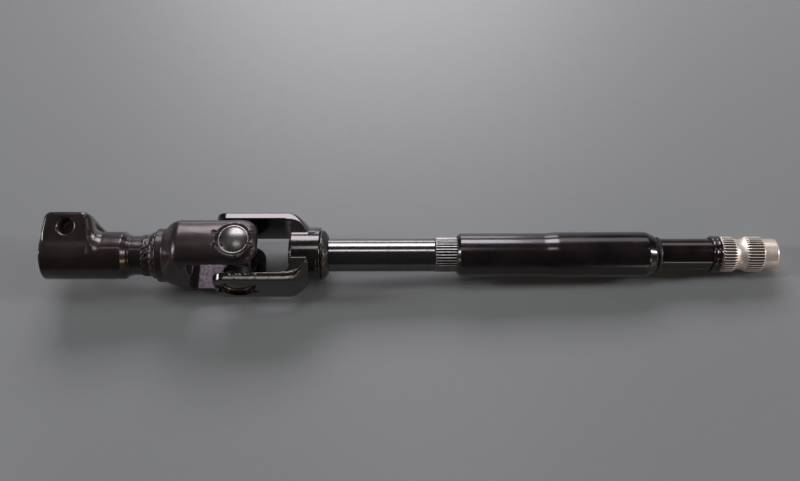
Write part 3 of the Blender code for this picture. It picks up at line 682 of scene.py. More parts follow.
CUP_STEEL = Steel(
    name="cup_steel", slot="bearing_steel", bright=(0.14, 0.135, 0.14), stained=(0.10, 0.09, 0.08),
    worn=(0.62, 0.58, 0.54), gloss=0.26, metallic=0.9, ring_depth=0.0002,
)
ROLLER_STEEL = Steel(
    name="roller_steel", slot="bearing_steel", bright=(0.62, 0.61, 0.60), stained=(0.45, 0.43, 0.40),
    gloss=0.18, metallic=1.0,
)
RUBBER = Soft()
NYLON = Soft(
    name="thrust_plastic", slot="thrust_plastic", body=(0.72, 0.70, 0.62), worn=(0.62, 0.58, 0.48),
    roughness=0.5,
)

Finish = Paint | Steel | Bead | Soft


class Dresser:
    """Dresses the pieces: it keeps one material for each finish."""

    def __init__(self) -> None:
        """Starts with no materials."""
        self.made: dict[str, bpy.types.Material] = {}

    def material(self, finish: Finish) -> bpy.types.Material:
        """The one material of a finish."""
        if finish.name not in self.made:
            self.made[finish.name] = finish.material()
        return self.made[finish.name]

    def dress(self, piece: bpy.types.Object, finish: Finish, body: Body, *nodes: str) -> bpy.types.Object:
        """Gives a piece its finish and its body, and hides the nodes that it stands for."""
        piece.data.materials.append(self.material(finish))
        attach(piece, body.value)
        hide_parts(*nodes)
        log.info("%s: %d points on %s", piece.name, len(piece.data.vertices), body.value)
        return piece

    def carry(self, node: bpy.types.Object, finish: Finish) -> None:
        """Gives a CAD node that stays the material of a finish."""
        for slot in node.material_slots:
            slot.material = self.material(finish)
        log.info("%s: kept, with %s", node.name, finish.name)


# Pieces


@dataclass
class ClampCoupling:
    """The clamp: barrel, slit lug, serrated socket and the stub that the yoke is welded to."""

    left: float = -102.4
    barrel_radius: float = 12.6
    barrel_right: float = -60.1
    cone_right: float = -57.0
    stub_radius: float = 10.3
    stub_right: float = -28.4
    phase: float = math.radians(15.9)
    lug_height: float = 21.7
    lug_half: float = 12.0
    ramp_half: float = 9.6
    hole: tuple[float, float] = (-89.1, 14.0)
    hole_radius: float = 4.2
    slot_right: float = -68.4
    bore_radius: float = 9.25
    bore_right: float = -62.4
    tooth_depth: float = 0.75
    cell: float = 0.4

    def lug(self, x: Array, up: Array, side: Array) -> Array:
        """Distance of the lug: a flat-faced block with a ramp behind it, down to the barrel.

        The ramp's plane runs on through the far half of the block and lets off before its near
        half, which keeps an upright end.
        """
        left, top = self.left, self.lug_height
        block = outline(x, up, [
            (left + 0.3, -4), (left + 0.5, 11), (left + 2.2, top), (-77.2, top), (-75.2, 12), (-73.6, 6),
            (-72.6, -4),
        ], 4.2)
        block = common(block, np.abs(side) - self.lug_half, 1.9 + 1.9 * risen(x, -81, -77))
        plane = (x + up + 59.4 - 1.4 * np.maximum(side + 1, 0)) * 0.7
        block = common(block, plane, 1.5)
        ramp = outline(x, up, [
            (-96, -4), (-96, top - 0.7), (-80.4, top - 0.7), (-71.2, 12.4), (-68.6, 10), (-68.6, -4),
        ], 1.5)
        ramp = common(ramp, np.maximum(side + 1, -side - self.ramp_half), 1.6)
        return joined(block, ramp, 1.0)

    def socket(self, x: Array, y: Array, z: Array, radius: Array) -> Array:
        """Distance of the serrated socket with the cone at its mouth."""
        teeth = np.abs((np.arctan2(z, y) * TOOTH_COUNT / (2 * math.pi)) % 1 - 0.5) * 2
        bore = radius - self.bore_radius + self.tooth_depth * np.clip(teeth * 1.3 - 0.15, 0, 1)
        mouth_end = self.left + 1.0
        mouth = np.maximum((radius - self.bore_radius - (mouth_end - x)) * 0.7, x - mouth_end)
        return np.minimum(np.maximum(bore * 0.6, x - self.bore_right), mouth)

    def solid(self, p: Array) -> Array:
        """Distance of the clamp: turned barrel and upright lug joined, less slot, hole and socket."""
        x, y, z = p.T
        up = y * math.cos(self.phase) + z * math.sin(self.phase)
        side = z * math.cos(self.phase) - y * math.sin(self.phase)
        radius = np.hypot(y, z)
        barrel = outline(x, radius, [
            (self.left, -9), (self.left, self.barrel_radius), (self.barrel_right, self.barrel_radius),
            (self.cone_right, self.stub_radius), (self.stub_right, self.stub_radius), (self.stub_right, -9),
        ], 0.8)
        ring = np.hypot(x - self.cone_right - 0.1, radius - self.stub_radius - 0.05) - 0.45
        fillet = 1.2 + 2.6 * risen(x, -78, -74) * risen(side, -2, 3)
        body = joined(joined(barrel, ring, 0.3), self.lug(x, up, side), fillet)
        slot = np.maximum(np.maximum(np.abs(side) - 1.5, x - self.slot_right), -up)
        body = cut(body, slot, 0.35)
        from_axis = np.hypot(x - self.hole[0], up - self.hole[1])
        chamfer = from_axis - self.hole_radius - np.maximum(np.abs(side) - self.lug_half + 0.7, 0)
        thread = 0.45 * np.abs((side / 1.25) % 1 - 0.5) * (side < 0)
        hole = from_axis - self.hole_radius + 2 * thread
        body = cut(body, np.minimum(hole * 0.8, chamfer * 0.75), 0.3)
        body = cut(body, self.socket(x, y, z, radius), 0.2)
        return body + 0.05 * waves(p, 9, 3)

    def build(self, dresser: Dresser) -> None:
        """Meshes and dresses the clamp."""
        low, high = np.array([self.left - 2, -14, -17.0]), np.array([self.stub_right + 2, 27, 22.0])
        piece = surface_net("clamp_body", self.solid, low, high, self.cell)
        marked(piece, "matt", self.recessed)
        dresser.dress(piece, FORGED_PAINT, Body.COUPLING, "clamp_coupling")

    def recessed(self, p: Array) -> Array:
        """Where the paint is matt: in the bolt hole, the slot and the socket."""
        x, y, z = p.T
        up = y * math.cos(self.phase) + z * math.sin(self.phase)
        side = z * math.cos(self.phase) - y * math.sin(self.phase)
        hole = risen(np.hypot(x - self.hole[0], up - self.hole[1]), self.hole_radius + 0.25, self.hole_radius)
        hole = hole * (np.abs(side) < self.lug_half - 0.8)
        slot = risen(np.abs(side), 1.9, 1.7) * (x < self.slot_right + 0.3) * (up > 0)
        return np.maximum(np.maximum(hole, slot), 1.0 * (np.hypot(y, z) < self.bore_radius + 0.2))


def staked(body: Array, along: Array, across: Array, level: Array, radius: float, degrees: float) -> Array:
    """Punches four marks round a bearing cup, each a short pit with a raised lip round it.

    Args:
        body: distance of the yoke.
        along: coordinate along the shaft, from the pin's axis.
        across: coordinate across the shaft, from the pin's axis.
        level: height over the yoke's surface.
        radius: distance of the marks from the pin's axis.
        degrees: their angle from the shaft's direction.

    Returns:
        The distance with the marks.
    """
    for angle in np.radians([degrees, -degrees, 180 - degrees, 180 + degrees]):
        run = along * math.cos(angle) + across * math.sin(angle) - radius
        off = across * math.cos(angle) - along * math.sin(angle)
        pit = np.hypot(np.hypot(np.maximum(np.abs(run) - 0.75, 0), off), level - 0.15) - 0.65
        lip = np.hypot(np.hypot(np.maximum(np.abs(run) - 0.8, 0), off), level + 0.5) - 1.25
        body = cut(joined(body, lip, 0.25), pit, 0.12)
    return body


@dataclass
class CouplingYoke:
    """The forged yoke: two ears round on the outside, an S-shaped shoulder and a short hub."""

    hub: float = -42.4
    hub_radius: float = 14.2
    shoulder_start: float = -38.2
    shoulder_end: float = -28.4
    shoulder_ease: float = 1.3
    waist: float = -31.0
    ear_radius: float = 22.3
    ear_inner: float = 15.7
    ear_half: float = 13.8
    ear_edge: float = 5.0
    twist: float = 0.024
    ear_end: float = 12.1
    ear_corner: float = 9.8
    throat: float = -26.0
    bore_radius: float = 8.3
    seat_radius: float = 9.0
    seat_height: float = 20.2
    stake_angle: float = 21.0
    cell: float = 0.4

    def solid(self, p: Array) -> Array:
        """Distance of the yoke: a turned blank trimmed to its plan, less throat, bores and stakes."""
        x, y, z = p.T
        share = np.linspace(0, 1, 14)
        along = self.shoulder_start + (self.shoulder_end - self.shoulder_start) * share
        rise = np.sin(share * math.pi / 2) ** self.shoulder_ease
        shoulder = list(zip(along, self.hub_radius + (self.ear_radius - self.hub_radius) * rise))
        far = self.ear_end + 4
        blank = outline(x, np.hypot(y, z), [
            (self.hub - 2, -9), (self.hub - 2, self.hub_radius), *shoulder, (far, self.ear_radius), (far, -9),
        ])
        blank = common(blank, self.hub - x, 0.7)
        half = self.hub_radius + 0.6
        half = half + (self.ear_half - half) * risen(x, self.shoulder_start, self.waist)
        plan = common(np.abs(y - self.twist * z) - half, x - self.ear_end, self.ear_corner)
        body = common(blank, plan, 1.7 + (self.ear_edge - 1.7) * risen(x, self.shoulder_start, self.waist))
        hollow = common(self.throat - x, np.abs(z) - self.ear_inner, 4.0)
        body = cut(body, hollow, 0.8)
        from_pin = np.hypot(x, y) + 0.12 * waves(p, 2.2, 12)
        seat = np.maximum(from_pin - self.seat_radius, self.seat_height - np.abs(z))
        body = cut(body, np.minimum(np.hypot(x, y) - self.bore_radius, seat), 0.25)
        level = np.abs(z) - np.sqrt(np.maximum(self.ear_radius**2 - y**2, 1))
        body = staked(body, x, y, level, 9.8, self.stake_angle)
        body = cut(body, np.maximum(np.hypot(y, z) - 10.6, x + 20), 0.3)
        return body + 0.07 * waves(p, 11, 5)

    def bare_and_painted_light(self, p: Array) -> Array:
        """Where paint is off: the milled inner faces of the ears, the seats' rims and the stakes. Past the pins,
        towards the ear tips, the milled faces stay dark paint as painted shade of the cross and the near ear.
        """
        x, y, z = p.T
        from_pin = np.hypot(x, y)
        edge = risen(waves(p, 3.0, 33), 0.6, -0.2)
        milled_and_painted_shade = risen(np.abs(np.abs(z) - self.ear_inner), 0.5, 0.2) * risen(x, -25.5, -22.5 - edge)
        # Painted shade: past the pins the milled faces go back to dark paint, where the cross and the near ear
        # shade them.
        milled_and_painted_shade = milled_and_painted_shade * risen(x, 7, 2)
        chips = risen(waves(p, 1.8, 31), 0.0, 0.3) * risen(np.abs(z), 18.5, 19.5)
        rim = risen(np.abs(from_pin - 9.7), 0.5, 0.2) * chips
        turn = np.abs(np.abs(np.arctan2(y, np.abs(x))) - math.radians(self.stake_angle)) * from_pin
        stake = risen(turn, 1.3, 0.9) * risen(np.abs(from_pin - 10.0), 1.9, 1.5) * risen(np.abs(z), 18.5, 19.5)
        return np.maximum(milled_and_painted_shade, np.maximum(rim, stake * risen(waves(p, 1.1, 35), -0.2, 0.3)) * 0.75)

    def build(self, dresser: Dresser) -> None:
        """Meshes and dresses the yoke."""
        low, high = np.array([self.hub - 2, -16, -24.6]), np.array([self.ear_end + 2, 16, 24.6])
        piece = surface_net("forged_yoke", self.solid, low, high, self.cell)
        marked(piece, "bare_and_painted_light", self.bare_and_painted_light)
        dresser.dress(piece, YOKE_PAINT, Body.COUPLING, "coupling_yoke")


@dataclass
class ShaftYoke:
    """The pressed fork: a bent plate with rounded arm ends on a round hub."""

    outer: float = 19.2
    plate: float = 3.9
    half_width: float = 12.7
    lean: float = 0.23
    arm_end: float = -11.5
    arm_corner: float = 5.8
    throat: float = 28.4
    bend_start: float = 26.0
    bend_end: float = 37.6
    hub_radius: float = 14.7
    hub_face: float = 43.5
    bore_radius: float = 8.3
    seat_radius: float = 9.2
    seat_height: float = 17.5
    shaft_radius: float = 8.85
    cell: float = 0.4

    def outside(self, x: Array, off: Array) -> Array:
        """Distance from the outer face in the side view, less than 0 inside the plate."""
        bend = self.bend_end - self.bend_start
        drop = self.outer - self.hub_radius
        sweep = (bend**2 + drop**2) / (2 * drop)
        turn = np.linspace(0, math.asin(bend / sweep), 8)
        curve = list(zip(self.bend_start + sweep * np.sin(turn), self.outer - sweep * (1 - np.cos(turn))))
        return outline(x, off, [
            (-20, -30), (-20, self.outer), *curve, (self.hub_face, self.hub_radius), (self.hub_face, -30),
        ])

    def solid(self, p: Array) -> Array:
        """Distance of the fork: the plate's side view, plan and turned outside in common, and the hub."""
        x, y, z = p.T
        radius, off = np.hypot(y, z), np.abs(y)
        side = self.outside(x, off)
        plate = np.maximum(side, -common(x - self.throat, off - self.outer + self.plate, 5.5))
        half = self.half_width + self.lean * (np.clip(-side, 0, self.plate) - self.plate / 2)
        plate = common(plate, common(self.arm_end - x, np.abs(z) - half, self.arm_corner), 0.4)
        wide = math.hypot(self.outer, self.half_width)
        rise = np.sin(risen(x, self.bend_end, self.bend_start) * math.pi / 2)
        skin = radius - (self.hub_radius + (wide - self.hub_radius) * rise)
        plate = common(plate, np.maximum(skin * 0.6, x - self.hub_face + 2), 0.6)
        middle, reach = (self.throat + self.hub_face) / 2, (self.hub_face - self.throat) / 2
        body = joined(plate, common(radius - self.hub_radius, np.abs(x - middle) - reach, 0.5), 0.4)
        from_pin = np.hypot(x, z) + 0.12 * waves(p, 2.2, 15)
        seat = np.maximum(from_pin - self.seat_radius, self.seat_height - off)
        body = cut(body, np.minimum(np.hypot(x, z) - self.bore_radius, seat), 0.22)
        body = staked(body, x, z, off - self.outer, 9.8, 21.0)
        body = cut(body, np.maximum(radius - self.shaft_radius, self.throat - 6 - x), 0.3)
        return body + 0.03 * waves(p, 13, 7)

    def bare_and_painted_light(self, p: Array) -> Array:
        """Where paint is thin: a torn line and chips along the sheared edges of the lower arm, and a painted
        highlight on its edge by the inner face.
        """
        x, y, z = p.T
        depth = -self.outside(x, np.abs(y))
        edge = risen(np.abs(z), self.half_width - 1.4, self.half_width - 0.9) * risen(x, -5.8, -4.6)
        line = risen(np.abs(depth - 1.05), 0.75, 0.4) * risen(waves(p, 1.6, 41), -0.8, -0.3)
        chips = risen(np.abs(depth - 2.2), 1.3, 0.9) * risen(waves(p, 0.9, 43), 0.35, 0.6)
        # Painted highlight: a bright line on the rounded edge between the arm's inner face and its sheared edge.
        inner = risen(np.abs(depth - self.plate), 0.5, 0.3) * risen(x, 8, 14)
        marks = np.maximum(line, np.maximum(chips * risen(x, 16, 10), inner * 0.6))
        return edge * marks * risen(x, 33, 29) * (y < 0)

    def build(self, dresser: Dresser) -> None:
        """Meshes and dresses the fork."""
        low, high = np.array([-14.5, -20.9, -17.0]), np.array([self.hub_face + 2, 20.9, 17.0])
        piece = surface_net("pressed_fork", self.solid, low, high, self.cell)
        marked(piece, "bare_and_painted_light", self.bare_and_painted_light)
        dresser.dress(piece, FORK_PAINT, Body.SHAFT, "shaft_yoke")


@dataclass
class JointCross:
    """The cross: a rounded block with four trunnions and their shoulders."""

    block_half: float = 7.4
    block_depth: float = 5.2
    shoulder_radius: float = 6.4
    shoulder_reach: float = 7.8
    trunnion_radius: float = 4.5
    reaches: tuple[float, float] = (17.7, 14.5)
    cell: float = 0.45

    def solid(self, p: Array) -> Array:
        """Distance of the cross: block, shoulders and trunnions joined with round corners."""
        x, y, z = p.T
        flat = np.hypot(np.maximum(np.abs(y) - 4.4, 0), np.maximum(np.abs(z) - 4.4, 0)) - 3.0
        body = common(flat, np.abs(x) - self.block_depth, 1.2)
        for along, reach in ((z, self.reaches[0]), (y, self.reaches[1])):
            across = np.sqrt(np.maximum((p**2).sum(axis=1) - along**2, 0))
            shoulder = common(across - self.shoulder_radius, np.abs(along) - self.shoulder_reach, 0.5)
            pin = common(across - self.trunnion_radius, np.abs(along) - reach, 0.6)
            hole = np.maximum(across - 1.7, reach - 5.3 - np.abs(along))
            body = cut(joined(joined(body, shoulder, 1.2), pin, 0.4), hole, 0.2)
        return body

    def build(self, dresser: Dresser) -> None:
        """Meshes and dresses the cross."""
        low, high = np.array([-8.0, -17, -20.0]), np.array([8.0, 17, 20.0])
        piece = surface_net("joint_cross_forging", self.solid, low, high, self.cell)
        dresser.dress(piece, SHAFT_STEEL, Body.CROSS, "joint_cross")


@dataclass
class Bearing:
    """One trunnion's bearing: a domed cup and the seal at its mouth."""

    label: str
    way: Way
    body: Body
    reach: float
    radius: float = 8.0
    wall: float = 0.9
    mouth: float = 10.1
    crown: float = 7.0
    dome: float = 1.3
    floor: float = 0.9
    turns: int = 96

    def build(self, dresser: Dresser) -> None:
        """Turns and dresses the cup, crowned as part of a sphere inside a raised edge, and the seal."""
        top = self.reach - self.dome
        sphere = (self.crown**2 + self.dome**2) / (2 * self.dome)
        share = np.linspace(0, 1, 18)[:, None]
        height = self.reach - sphere + np.sqrt(sphere**2 - (self.crown * share) ** 2)
        dome = np.concatenate([height, self.crown * share], axis=1)
        bore = self.radius - self.wall
        corners = [
            (top, self.crown, 0), (top - 0.1, self.crown + 0.2, 0.1), (top + 0.35, self.crown + 0.4, 0.12),
            (top + 0.3, self.radius - 0.1, 0.35), (top - 0.8, self.radius, 0.3),
            (self.mouth, self.radius, 0.25), (self.mouth, bore, 0.2), (top - self.floor, bore, 0.5),
            (top - self.floor, 0, 0),
        ]
        wall = filleted(corners, 5)[1:]
        profile = np.concatenate([dome, wall])
        cup = round_turned(f"{self.label}_bearing_cup", profile, self.turns, self.way)
        marked(cup, "tip", self.rim)
        dresser.dress(cup, CUP_STEEL, self.body, f"{self.label}_cup")
        foot = 8.1
        corners = [
            (foot, 4.8, 0.1), (foot, 6.3, 0.2), (foot + 0.7, 7.5, 0.25), (foot + 1.7, 7.55, 0.2),
            (foot + 1.7, 5.1, 0.1),
        ]
        lip = filleted(corners, 4, closed=True)
        seal = round_turned(f"{self.label}_lip_seal", lip, self.turns // 2, self.way)
        dresser.dress(seal, RUBBER, self.body, f"{self.label}_seal")

    def rim(self, p: Array) -> Array:
        """The raised rim, which shines all round."""
        x, y, z = (p @ np.array(self.way.value, float).T).T
        return risen(np.hypot(y, z), self.crown + 0.25, self.crown + 0.45) * (x > self.reach - self.dome - 0.5)


@dataclass
class WeldBead:
    """A weld: overlapping lumps in the corner between a shaft and the face that the weld climbs."""

    name: str
    node: str
    body: Body
    foot: float
    length: float
    bore: float
    height: float
    lumps: float = 0.45
    fine: float = 0.1
    ripples: int = 26
    spatter: float = 0.0
    seed: int = 1
    turns: int = 360

    def build(self, dresser: Dresser) -> None:
        """Turns and dresses the bead.

        The radius is the bore plus the fillet's height, a quarter of a rounded square in the
        share s of the length, plus soft lumps, crescent ripples and fine roughness that die away
        at both ends. A spatter band goes on behind it as a thin rough skin with a ragged edge.
        """
        skin = 14 if self.spatter else 0
        share = np.concatenate([np.linspace(0, 1, 27), 1 + np.linspace(0, 1, skin + 1)[1:]])
        turn = np.arange(self.turns) * (2 * math.pi / self.turns)
        s, t = np.meshgrid(share, turn, indexing="ij")
        main, band = np.clip(s, 0, 1), np.clip(s - 1, 0, 1)
        run = main * abs(self.length) + band * self.spatter
        ring = np.stack([np.cos(t) * self.bore, np.sin(t) * self.bore, run], axis=-1).reshape(-1, 3)
        soft, mid, fine = (
            waves(ring, length, self.seed + step).reshape(s.shape)
            for step, length in enumerate((7.0, 2.6, 1.1))
        )
        middle = np.sin(main * math.pi) ** 0.6
        crescent = np.abs(np.sin(self.ripples * t / 2 + 2.2 * main + 1.6 * soft)) - 0.6
        bead = self.height * (1 - main**2.2) ** 0.8
        rough = self.lumps * (soft + 0.8 * mid) + self.fine * (fine + 0.8 * crescent)
        skin_height = np.maximum(0.3 + 0.45 * mid + 0.25 * fine, 0) * np.sin(band * math.pi) ** 0.3
        over = np.where(s > 1, skin_height, bead + middle * rough)
        radius = self.bore + 0.08 + np.maximum(over, 0)
        along = self.foot + math.copysign(1, self.length) * run * (1 + 0.12 * soft * np.clip(s, 0, 1))
        bore = np.full((1, self.turns), self.bore)
        radius = np.concatenate([bore, radius, bore])
        along = np.concatenate([np.full((1, self.turns), self.foot), along, along[-1:]])
        piece = turned(self.name, along, radius)
        dresser.dress(piece, BEAD_PAINT, self.body, self.node)


def toothed(tip: Array, root: Array, turns: int, sharpness: float = 1.6) -> Array:
    """Radius of a serrated surface: flat tips and narrow grooves between root and tip radius.

    Args:
        tip: tip radius of each row.
        root: root radius of each row, equal to the tip where there are no teeth.
        turns: points round the shaft.
        sharpness: how steep the flanks are.

    Returns:
        The radius, rows by turns.
    """
    turn = np.arange(turns) / turns * TOOTH_COUNT
    wave = np.abs((turn % 1) - 0.5) * 2
    groove = np.clip((wave - 0.5) * sharpness + 0.55, 0, 1)
    groove = groove * groove * (3 - 2 * groove)
    return tip[:, None] + (root - tip)[:, None] * groove[None]


@dataclass
class SplinedShaft:
    """The smooth shaft with its long outer spline."""

    start: float = 26.7
    radius: float = 8.8
    spline_start: float = 104.1
    spline_end: float = 157.1
    spline_radius: float = 9.05
    depth: float = 0.75
    turns: int = 432

    def build(self, dresser: Dresser) -> None:
        """Turns and dresses the shaft: a round bar whose last part has grooves between its teeth."""
        corners = [
            (self.start, 0, 0), (self.start, self.radius, 1.2), (self.spline_start - 0.6, self.radius, 0.2),
            (self.spline_start, self.spline_radius, 0.15), (self.spline_start + 0.55, self.spline_radius, 0),
            (self.spline_start + 0.7, self.spline_radius, 0), (self.spline_end - 2, self.spline_radius, 0),
            (self.spline_end, self.spline_radius, 1.0), (self.spline_end, 0, 0),
        ]
        profile = divided(filleted(corners, 6), 12)
        x, tip = profile.T
        deep = np.clip((x - self.spline_start) / 0.5, 0, 1) * np.clip((self.spline_end - x) / 0.8, 0, 1)
        root = np.minimum(tip, tip - self.depth * deep)
        radius = toothed(tip, root, self.turns)
        radius[[0, -1]] = 0
        piece = turned("splined_bar", x, radius)
        marked(piece, "groove", self.groove)
        marked(piece, "tip", lambda p: (1 - self.groove(p)) * (p[:, 0] > self.spline_start + 0.1))
        dresser.dress(piece, SHAFT_STEEL, Body.SHAFT, "splined_shaft")

    def groove(self, p: Array) -> Array:
        """How far a point lies down in the grooves."""
        depth = self.spline_radius - np.hypot(p[:, 1], p[:, 2])
        return risen(depth, 0.04, 0.3) * (p[:, 0] > self.spline_start)


@dataclass
class Sleeve:
    """The tube that slides on the spline, swaged at one end and closed in at the other."""

    left: float = 115.2
    swage_end: float = 161.4
    step_end: float = 168.0
    right: float = 220.4
    swaged_radius: float = 11.45
    radius: float = 12.0
    spline_bore: float = 9.2
    wide_bore: float = 9.5
    rod_bore: float = 8.6
    turns: int = 216

    def build(self, dresser: Dresser) -> None:
        """Turns and dresses the tube, with a plain bore for the spline in its swaged part."""
        corners = [
            (self.left, 9.7, 0.3), (self.left + 0.5, 10.5, 0.5), (self.left + 2.0, self.swaged_radius, 1.2),
            (self.swage_end, self.swaged_radius, 30), (self.step_end, self.radius, 30),
            (215.0, self.radius, 4.5), (219.0, 10.0, 1.5),
            (self.right, 8.9, 0.3), (self.right, self.rod_bore, 0.1), (213.3, self.rod_bore, 0.3),
            (212.2, self.wide_bore, 0.3), (self.swage_end, self.wide_bore, 0.3),
            (self.swage_end - 1, self.spline_bore, 0.2), (self.left + 0.8, self.spline_bore, 0.1),
            (self.left, 9.6, 0.05),
        ]
        profile = filleted(corners, 7, closed=True)
        piece = round_turned("sliding_sleeve", profile, self.turns)
        dresser.dress(piece, TUBE_PAINT, Body.COLUMN, "sleeve_tube")


@dataclass
class ColumnEnd:
    """The rod, the collar with two beads and the bare serrated end."""

    rod_left: float = 207.8
    rod_radius: float = 8.3
    shoulder: float = 254.4
    groove: tuple[float, float] = (260.9, 267.7)
    serration_right: float = 276.4
    face: float = 283.8
    radius: float = 9.25
    pilot_radius: float = 8.05
    depth: float = 0.78
    turns: int = 432

    def build(self, dresser: Dresser) -> None:
        """Turns and dresses the three pieces."""
        shoulder = self.shoulder
        corners = [
            (self.rod_left, 0, 0), (self.rod_left, self.rod_radius, 0.5), (shoulder - 5.2, self.rod_radius, 0),
            (shoulder - 0.02, self.rod_radius, 0.0), (shoulder - 0.02, 0, 0),
        ]
        rod = round_turned("painted_rod", filleted(corners), 160)
        dresser.dress(rod, ROD_PAINT, Body.COLUMN, "column_stub")
        self.build_collar(dresser)
        self.build_serrated_end(dresser)

    def build_collar(self, dresser: Dresser) -> None:
        """The collar: two half waves of x on its outside."""
        left = self.shoulder - 5.3
        x = np.linspace(left, left + 5.0, 33)
        bead = np.sqrt(np.clip(1 - ((np.abs(x - left - 2.5) - 1.25) / 1.25) ** 2, 0, 1))
        outside = np.stack([x, 9.05 + 0.78 * bead], axis=1)
        inside = np.array([[left + 5.0, 8.62], [left, 8.62]])
        collar = round_turned("beaded_collar", np.concatenate([outside, inside]), 160)
        dresser.dress(collar, ROD_PAINT, Body.COLUMN, "end_collar")

    def build_serrated_end(self, dresser: Dresser) -> None:
        """The serrated end: teeth cut to an envelope with chamfers, a round bolt groove and a pilot."""
        middle = sum(self.groove) / 2
        half = (self.groove[1] - self.groove[0]) / 2 + 0.35
        depth = 1.3
        arc = (half**2 + depth**2) / (2 * depth)
        across = np.linspace(-1, 1, 17)
        groove = [
            (middle + half * a, self.radius - depth + arc - math.sqrt(arc**2 - (half * a) ** 2), 0) for a in across
        ]
        corners = [
            (self.shoulder, 0, 0), (self.shoulder, 8.5, 0.2), (self.shoulder + 0.9, self.radius, 0.4), *groove,
            (self.serration_right - 1.0, self.radius, 0.5), (self.serration_right, self.pilot_radius, 0.15),
            (self.face, self.pilot_radius, 0.9), (self.face, 0, 0),
        ]
        profile = divided(filleted(corners, 6), 1.0)
        x, envelope = profile.T
        floor = np.where(x < self.serration_right, self.radius - self.depth, self.pilot_radius)
        root = np.minimum(envelope, np.maximum(floor, 0))
        tip = np.full(len(x), self.radius)
        radius = np.minimum(toothed(tip, tip - self.depth, self.turns), envelope[:, None])
        plain = root > envelope - 1e-6
        radius[plain] = envelope[plain, None]
        radius[[0, -1]] = 0
        piece = turned("serrated_end", x, radius)
        order = np.argsort(x, kind="stable")
        marked(piece, "groove", lambda p: risen(
            np.interp(p[:, 0], x[order], envelope[order]) - np.hypot(p[:, 1], p[:, 2]), 0.06, 0.34,
        ) * (p[:, 0] > self.shoulder + 0.5) * (p[:, 0] < self.serration_right))
        dresser.dress(piece, BARE_STEEL, Body.COLUMN, "column_stub")


@dataclass(frozen=True)
class Lamp:
    """An area lamp that shines at the shaft's middle.

    degrees is its angle from the camera's direction towards the picture's top, start and end are
    its reach along x, width is its other size, all in metres from the picture's middle.
    """

    name: str
    degrees: float
    start: float
    end: float
    width: float
    radiance: float
    tint: tuple[float, float, float]
    reach: float = 1.2


LAMPS = (
    Lamp("window", 75.5, -0.43, 0.22, 0.46, 10.5, (1.0, 0.95, 1.0)),
    Lamp("low_window", 108, -0.43, 0.22, 0.34, 3.8, (1.0, 0.96, 1.0)),
    Lamp("ceiling_lamp", 32, -0.19, 0.09, 0.20, 6.0, (1.0, 1.0, 0.96)),
    Lamp("ceiling_spot", 38, -0.56, -0.46, 0.10, 4.0, (1.0, 0.98, 0.9)),
    Lamp("front_strip", -61, 0.42, 0.80, 0.10, 3.5, (1.0, 0.97, 0.92)),
    Lamp("right_wall", 82, 0.22, 0.85, 0.50, 1.5, (1.0, 0.93, 0.9)),
    Lamp("right_strip", 29, 0.60, 0.85, 0.15, 2.2, (1.0, 0.93, 0.85)),
    Lamp("left_side", 25, -2.5, -1.6, 0.28, 26.0, (0.98, 0.98, 1.0)),
    Lamp("right_side", 25, 2.1, 3.2, 0.28, 38.0, (0.98, 0.98, 1.0)),
    Lamp("warm_left", -40, -2.1, -1.6, 0.3, 5.0, (1.0, 0.6, 0.38)),
    Lamp("warm_right", -40, 1.5, 1.9, 0.3, 8.0, (1.0, 0.72, 0.45)),
)


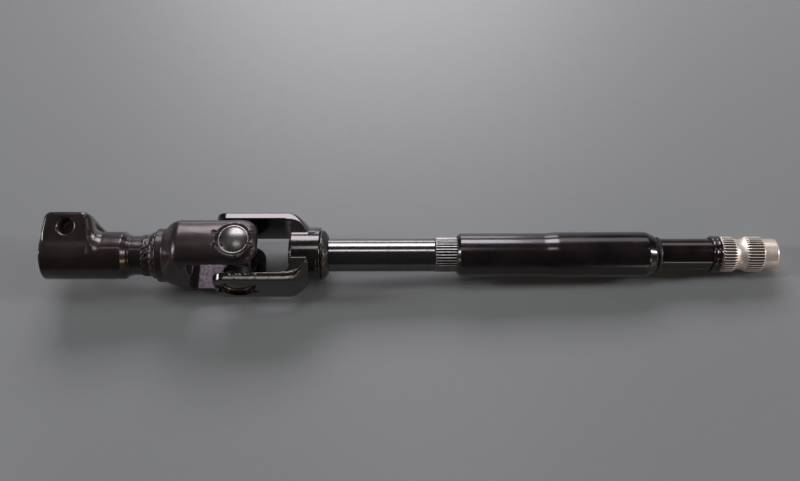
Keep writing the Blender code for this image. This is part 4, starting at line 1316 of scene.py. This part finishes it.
@dataclass
class Studio:
    """The pale floor, the lamps and the camera."""

    elevation: float = math.radians(65.5)
    middle: float = -0.1985
    rise: float = 0.00763
    roll: float = 0.002
    distance: float = 0.5
    lens: float = 42.4
    floor_z: float = -0.0094
    floor_slope: float = 0.0465
    floor_grey: tuple[float, float, float] = (0.225, 0.236, 0.243)
    room: float = 0.03

    def directions(self) -> tuple[Vector, Vector]:
        """The direction to the camera and the picture's upward direction."""
        towards = Vector((0, -math.cos(self.elevation), math.sin(self.elevation)))
        upward = Vector((0, math.sin(self.elevation), math.cos(self.elevation)))
        return towards, upward

    def hang(self, lamp: Lamp) -> None:
        """Hangs an area lamp."""
        towards, upward = self.directions()
        angle = math.radians(lamp.degrees)
        away = towards * math.cos(angle) + upward * math.sin(angle)
        length = lamp.end - lamp.start
        data = bpy.data.lights.new(lamp.name, "AREA")
        data.shape = "RECTANGLE"
        data.size, data.size_y = length, lamp.width
        data.energy = lamp.radiance * math.pi * length * lamp.width
        data.color = lamp.tint
        thing = bpy.data.objects.new(lamp.name, data)
        aside = (lamp.start + lamp.end) / 2
        thing.location = Vector((self.middle + aside, 0, 0)) + away * lamp.reach
        back = (thing.location - Vector((self.middle, 0, 0))).normalized()
        up = back.cross(Vector((1, 0, 0))).normalized()
        thing.rotation_euler = Matrix((up.cross(back), up, back)).transposed().to_euler()
        bpy.context.collection.objects.link(thing)

    def build(self) -> None:
        """Sets up the floor, world, lamps and camera."""
        self.build_floor()
        world = bpy.data.worlds.new("room")
        world.use_nodes = True
        background = world.node_tree.nodes["Background"]
        background.inputs["Color"].default_value = (1.0, 0.95, 0.9, 1)
        background.inputs["Strength"].default_value = self.room
        bpy.context.scene.world = world
        for lamp in LAMPS:
            self.hang(lamp)
        towards, upward = self.directions()
        camera = bpy.data.objects.new("camera", bpy.data.cameras.new("camera"))
        camera.data.lens = self.lens
        camera.data.sensor_width = 36
        camera.data.clip_start = 0.02
        camera.location = Vector((self.middle, 0, 0)) + upward * self.rise + towards * self.distance
        right = (Vector((1, 0, 0)) - upward * self.roll).normalized()
        up = towards.cross(right)
        camera.rotation_euler = Matrix((right, up, towards)).transposed().to_euler()
        bpy.context.collection.objects.link(camera)
        scene = bpy.context.scene
        scene.camera = camera
        scene.view_settings.view_transform = "Standard"

    def build_floor(self) -> None:
        """The floor: one wide flat sheet with a faint mottle, under the yoke and the serrated end."""
        mesh = bpy.data.meshes.new("floor")
        wide = 3.0
        corners = [(-wide, -wide), (wide, -wide), (wide, wide), (-wide, wide)]
        corners = [(x, y, self.floor_z + x * self.floor_slope) for x, y in corners]
        mesh.from_pydata(corners, [], [(0, 1, 2, 3)])
        floor = bpy.data.objects.new("floor", mesh)
        bpy.context.collection.objects.link(floor)
        shader = Shader("floor")
        mottle, speckle = shader.noise(3, 6), shader.noise(0.7, 2)
        darker = tuple(value * 0.90 for value in self.floor_grey)
        mesh.materials.append(shader.finished(
            Base_Color=shader.mixed(mottle * 0.5 + speckle * 0.5, darker, self.floor_grey), Roughness=0.39,
            Normal=shader.bump(speckle, 0.05),
        ))


def main() -> None:
    """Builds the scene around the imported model."""
    logging.basicConfig(level=logging.INFO, format="%(name)s: %(message)s")
    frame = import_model()
    dresser = Dresser()
    ClampCoupling().build(dresser)
    WeldBead(
        "clamp_weld", "coupling_weld", Body.COUPLING, -42.7, -3.4, 10.5, 2.0, spatter=4.0, seed=4,
    ).build(dresser)
    CouplingYoke().build(dresser)
    JointCross().build(dresser)
    for label, way, body, reach in (
        ("coupling_upper", Way.ALONG_Z, Body.COUPLING, 21.4),
        ("coupling_lower", Way.DOWN_Z, Body.COUPLING, 21.4),
        ("shaft_left", Way.ALONG_Y, Body.SHAFT, 18.0), ("shaft_right", Way.DOWN_Y, Body.SHAFT, 18.0),
    ):
        Bearing(label, way, body, reach).build(dresser)
        dresser.carry(frame["nodes"][f"{label}_rollers"], ROLLER_STEEL)
        dresser.carry(frame["nodes"][f"{label}_thrust_pin"], NYLON)
    ShaftYoke().build(dresser)
    WeldBead("fork_weld", "shaft_weld", Body.SHAFT, 43.8, 4.0, 8.9, 4.2, seed=8).build(dresser)
    SplinedShaft().build(dresser)
    Sleeve().build(dresser)
    WeldBead(
        "tube_weld", "sleeve_weld", Body.COLUMN, 220.7, 1.8, 8.6, 0.5, lumps=0.25, fine=0.1, seed=6,
    ).build(dresser)
    ColumnEnd().build(dresser)
    Studio().build()
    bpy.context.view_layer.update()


if __name__ == "__main__":
    main()
